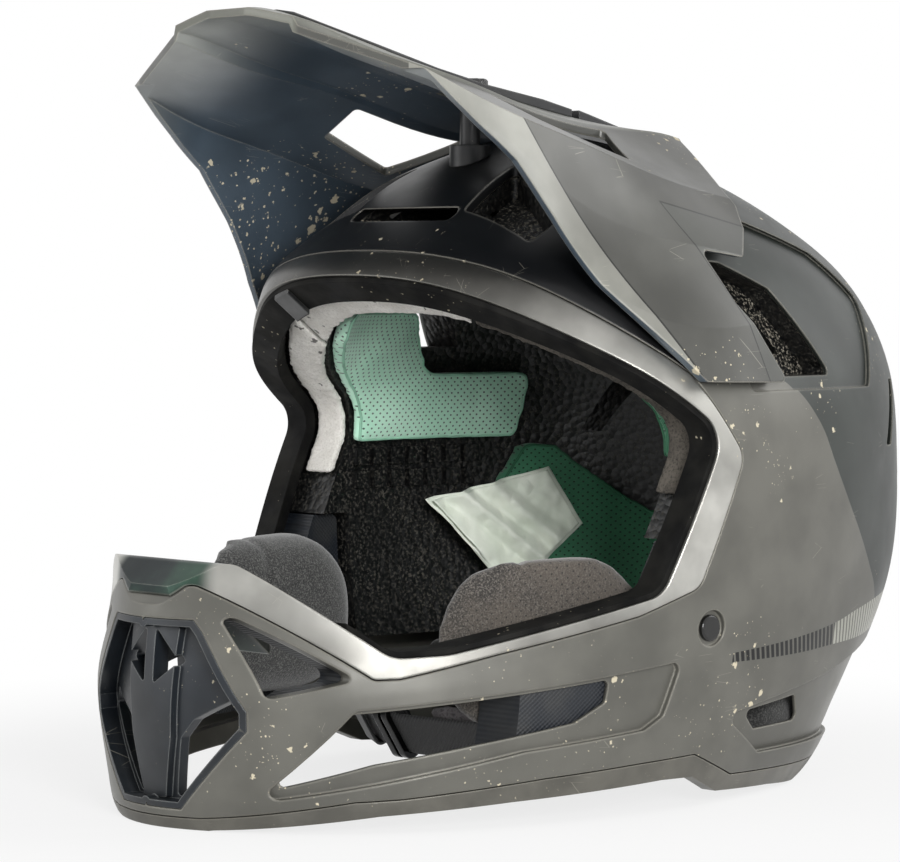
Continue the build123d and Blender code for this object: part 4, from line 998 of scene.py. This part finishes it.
def strapPiece(name, shares, values, look):
    rise, width, rowShares = values["rise"], values["width"], values["rows"]
    up = Vector((0.0, -rise, math.sqrt(1 - rise * rise)))
    sideways = Vector((1.0, 0.0, 0.0))
    forward = up.cross(sideways)
    route = strapRoute(shares, values)
    shape = bmesh.new()
    layer = shape.loops.layers.uv.new("cloth")
    rows, run = [], 0.0
    for index, spot in enumerate(route):
        run += (spot - route[index - 1]).length if index else 0.0
        centre = Vector(values["origin"]) + sideways * spot.x + forward * spot.y
        rows.append((run, [shape.verts.new(centre + up * width * (share - 0.5)) for share in rowShares]))
    for (runA, a), (runB, b) in zip(rows, rows[1:]):
        for i, (low, high) in enumerate(zip(rowShares, rowShares[1:])):
            face = shape.faces.new((a[i], a[i + 1], b[i + 1], b[i]))
            for loop, uv in zip(face.loops, ((runA, low), (runA, high), (runB, high), (runB, low))):
                loop[layer].uv = (uv[0], uv[1] * width)
    piece = addPiece(name, shape, look)
    thick = piece.modifiers.new("thickness", "SOLIDIFY")
    thick.thickness, thick.offset = values["thick"], 0.0
    soft = piece.modifiers.new("soft edges", "BEVEL")
    soft.width, soft.segments = values["edge"], 2
    applied(piece)
    smoothShade(piece)
    return piece


for nodeName, (name, shares) in strapValues["straps"].items():
    strap = strapPiece(name, shares, strapValues, "webbing")
    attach(strap, "helmet")
    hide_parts(nodeName)
strapPad = softCopy("chin_strap_pad", "chinStrapPad", "strapFoam", strapPadValues)
roundMap(strapPad, strapPadValues["heart"], strapPadValues["map"])
seated(strapPad, "chin_strap_pad")
print("straps made")


# Label: two blank leaves of satin tape, folded and crumpled over the right nape pad
labelValues = {
    "corners": [(-0.0830, 0.0487, 0.1059), (-0.0685, 0.1045, 0.1178), (-0.0600, 0.1165, 0.0945),
                (-0.0712, 0.0849, 0.0665)],
    "folds": [(0.0, 0.0050), (0.22, 0.0005), (0.36, 0.0072), (0.48, 0.0012), (0.62, 0.0058), (0.74, 0.0014),
              (1.0, 0.0040)],
    "lean": 0.25, "crumple": 0.0024, "octaves": 3, "grain": 80.0, "thick": 0.00035, "gridAcross": 44,
    "gridUp": 32, "restsOn": ["napePadRight"], "heart": (0.0, 0.040, 0.115),
    "leaves": {"labelLeafFront": (0.0020, 1.0, 0.0), "labelLeafBack": (0.0006, 1.05, 9.0)},
}


def foldHeight(share, folds):
    for (first, low), (second, high) in zip(folds, folds[1:]):
        if first <= share <= second:
            return low + (high - low) * (share - first) / (second - first)
    return folds[-1][1]


def leafSheet(name, lift, size, seed, values):
    shape = bmesh.new()
    bmesh.ops.create_grid(shape, x_segments=values["gridAcross"], y_segments=values["gridUp"], size=0.5)
    layer = shape.loops.layers.uv.new("cloth")
    upperLeft, upperRight, lowerRight, lowerLeft = [Vector(place) for place in values["corners"]]
    middle = (upperLeft + upperRight + lowerRight + lowerLeft) / 4
    wide, tall = (upperRight - upperLeft).length, (upperLeft - lowerLeft).length
    for face in shape.faces:
        for loop in face.loops:
            loop[layer].uv = (loop.vert.co.x * wide, loop.vert.co.y * tall)
    for vert in shape.verts:
        across, up = vert.co.x + 0.5, vert.co.y + 0.5
        place = lowerLeft.lerp(lowerRight, across).lerp(upperLeft.lerp(upperRight, across), up)
        place = middle + (place - middle) * size
        inward = (Vector((0.0, values["heart"][1], place.z)) - place).normalized()
        grain = place * values["grain"] + Vector((seed, 0, 0))
        crumple = noise.turbulence(grain, values["octaves"], False) * values["crumple"]
        fold = foldHeight(across + values["lean"] * (up - 0.5), values["folds"])
        vert.co = place + inward * (lift + fold + crumple)
    area = sum(face.calc_area() for face in shape.faces)
    leaf = addPiece(name, shape, "label")
    thick = leaf.modifiers.new("thickness", "SOLIDIFY")
    thick.thickness, thick.offset = values["thick"], 0.0
    applied(leaf)
    smoothShade(leaf)
    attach(leaf, "helmet")
    return leaf


for name, (lift, size, seed) in labelValues["leaves"].items():
    leaf = leafSheet(name, lift, size, seed, labelValues)
    if name == "labelLeafFront":
        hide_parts("label_booklet")
print("label made")


# Floor, light and camera

def seenRays(tree):
    # camera, mirror and glass rays see the plain backdrop
    rays = put(tree, "ShaderNodeLightPath").outputs
    shiny = calc(tree, "MAXIMUM", rays["Is Glossy Ray"], rays["Is Transmission Ray"])
    return calc(tree, "MAXIMUM", rays["Is Camera Ray"], shiny)


floorValues = {"size": 3.0, "drop": 0.0002, "paper": 0.92, "rough": 0.9, "fade": (0.20, 0.45), "least": 0.78}
shape = bmesh.new()
bmesh.ops.create_grid(shape, x_segments=1, y_segments=1, size=floorValues["size"])
bmesh.ops.translate(shape, verts=shape.verts, vec=(0.0, 0.0, -floorValues["drop"]))
floorLook, tree, paper, place = newMaterial("floorPaper", roughness=floorValues["rough"])
paper.inputs["Base Color"].default_value = (*[floorValues["paper"]] * 3, 1)
away = vectorCalc(tree, "LENGTH", place["Object"])
away = times(tree, step(tree, away, *floorValues["fade"], floorValues["least"], 1.0), seenRays(tree))
white = put(tree, "ShaderNodeEmission", {"Color": (1, 1, 1, 1), "Strength": 1.0}).outputs[0]
blend = put(tree, "ShaderNodeMixShader", {0: away, 1: paper.outputs[0], 2: white}).outputs[0]
tree.links.new(blend, tree.nodes["Material Output"].inputs["Surface"])
looks["floor"] = floorLook
addPiece("floor", shape, "floor")

worldValues = {"light": 0.40, "seen": 1.0}
world = bpy.data.worlds.new("studio")
scene.world = world
world.use_nodes = True
tree = world.node_tree
background = tree.nodes["Background"].inputs
background["Color"].default_value = (1, 1, 1, 1)
extra = worldValues["seen"] - worldValues["light"]
strength = calc(tree, "MULTIPLY_ADD", seenRays(tree), extra, worldValues["light"])
tree.links.new(strength, background["Strength"])

lampValues = {
    "aim": (0, 0, 0.12),
    "lamps": {
        "frontLeft": {"place": (-0.8, -1.4, 0.5), "size": 0.8, "power": 5.0},
        "frontRight": {"place": (1.45, -0.80, 0.50), "size": 0.5, "power": 22.0},
        "rear": {"place": (0.9, 1.3, 0.9), "size": 0.9, "power": 8.0},
    },
}
for name, values in lampValues["lamps"].items():
    data = bpy.data.lights.new(name, "AREA")
    data.energy, data.size = values["power"], values["size"]
    lamp = bpy.data.objects.new(name, data)
    scene.collection.objects.link(lamp)
    lamp.location = values["place"]
    lamp.rotation_euler = (Vector(lampValues["aim"]) - lamp.location).to_track_quat("-Z", "Y").to_euler()

cameraValues = {
    "azimuth": 47.0, "elevation": 3.4, "distance": 1.414, "aim": (0.0, 0.0, 0.117), "lens": 143.52,
    "sensor": 36.0, "shift": (-0.03056, 0.06222), "far": 20.0,
}
turn, rise = math.radians(cameraValues["azimuth"]), math.radians(cameraValues["elevation"])
back = Vector((math.sin(turn) * math.cos(rise), -math.cos(turn) * math.cos(rise), math.sin(rise)))
data = bpy.data.cameras.new("camera")
data.lens, data.sensor_width = cameraValues["lens"], cameraValues["sensor"]
data.shift_x, data.shift_y = cameraValues["shift"]
data.clip_end = cameraValues["far"]
camera = bpy.data.objects.new("camera", data)
scene.collection.objects.link(camera)
camera.location = Vector(cameraValues["aim"]) + back * cameraValues["distance"]
camera.rotation_euler = back.to_track_quat("Z", "Y").to_euler()
scene.camera = camera
scene.view_settings.view_transform = "Standard"
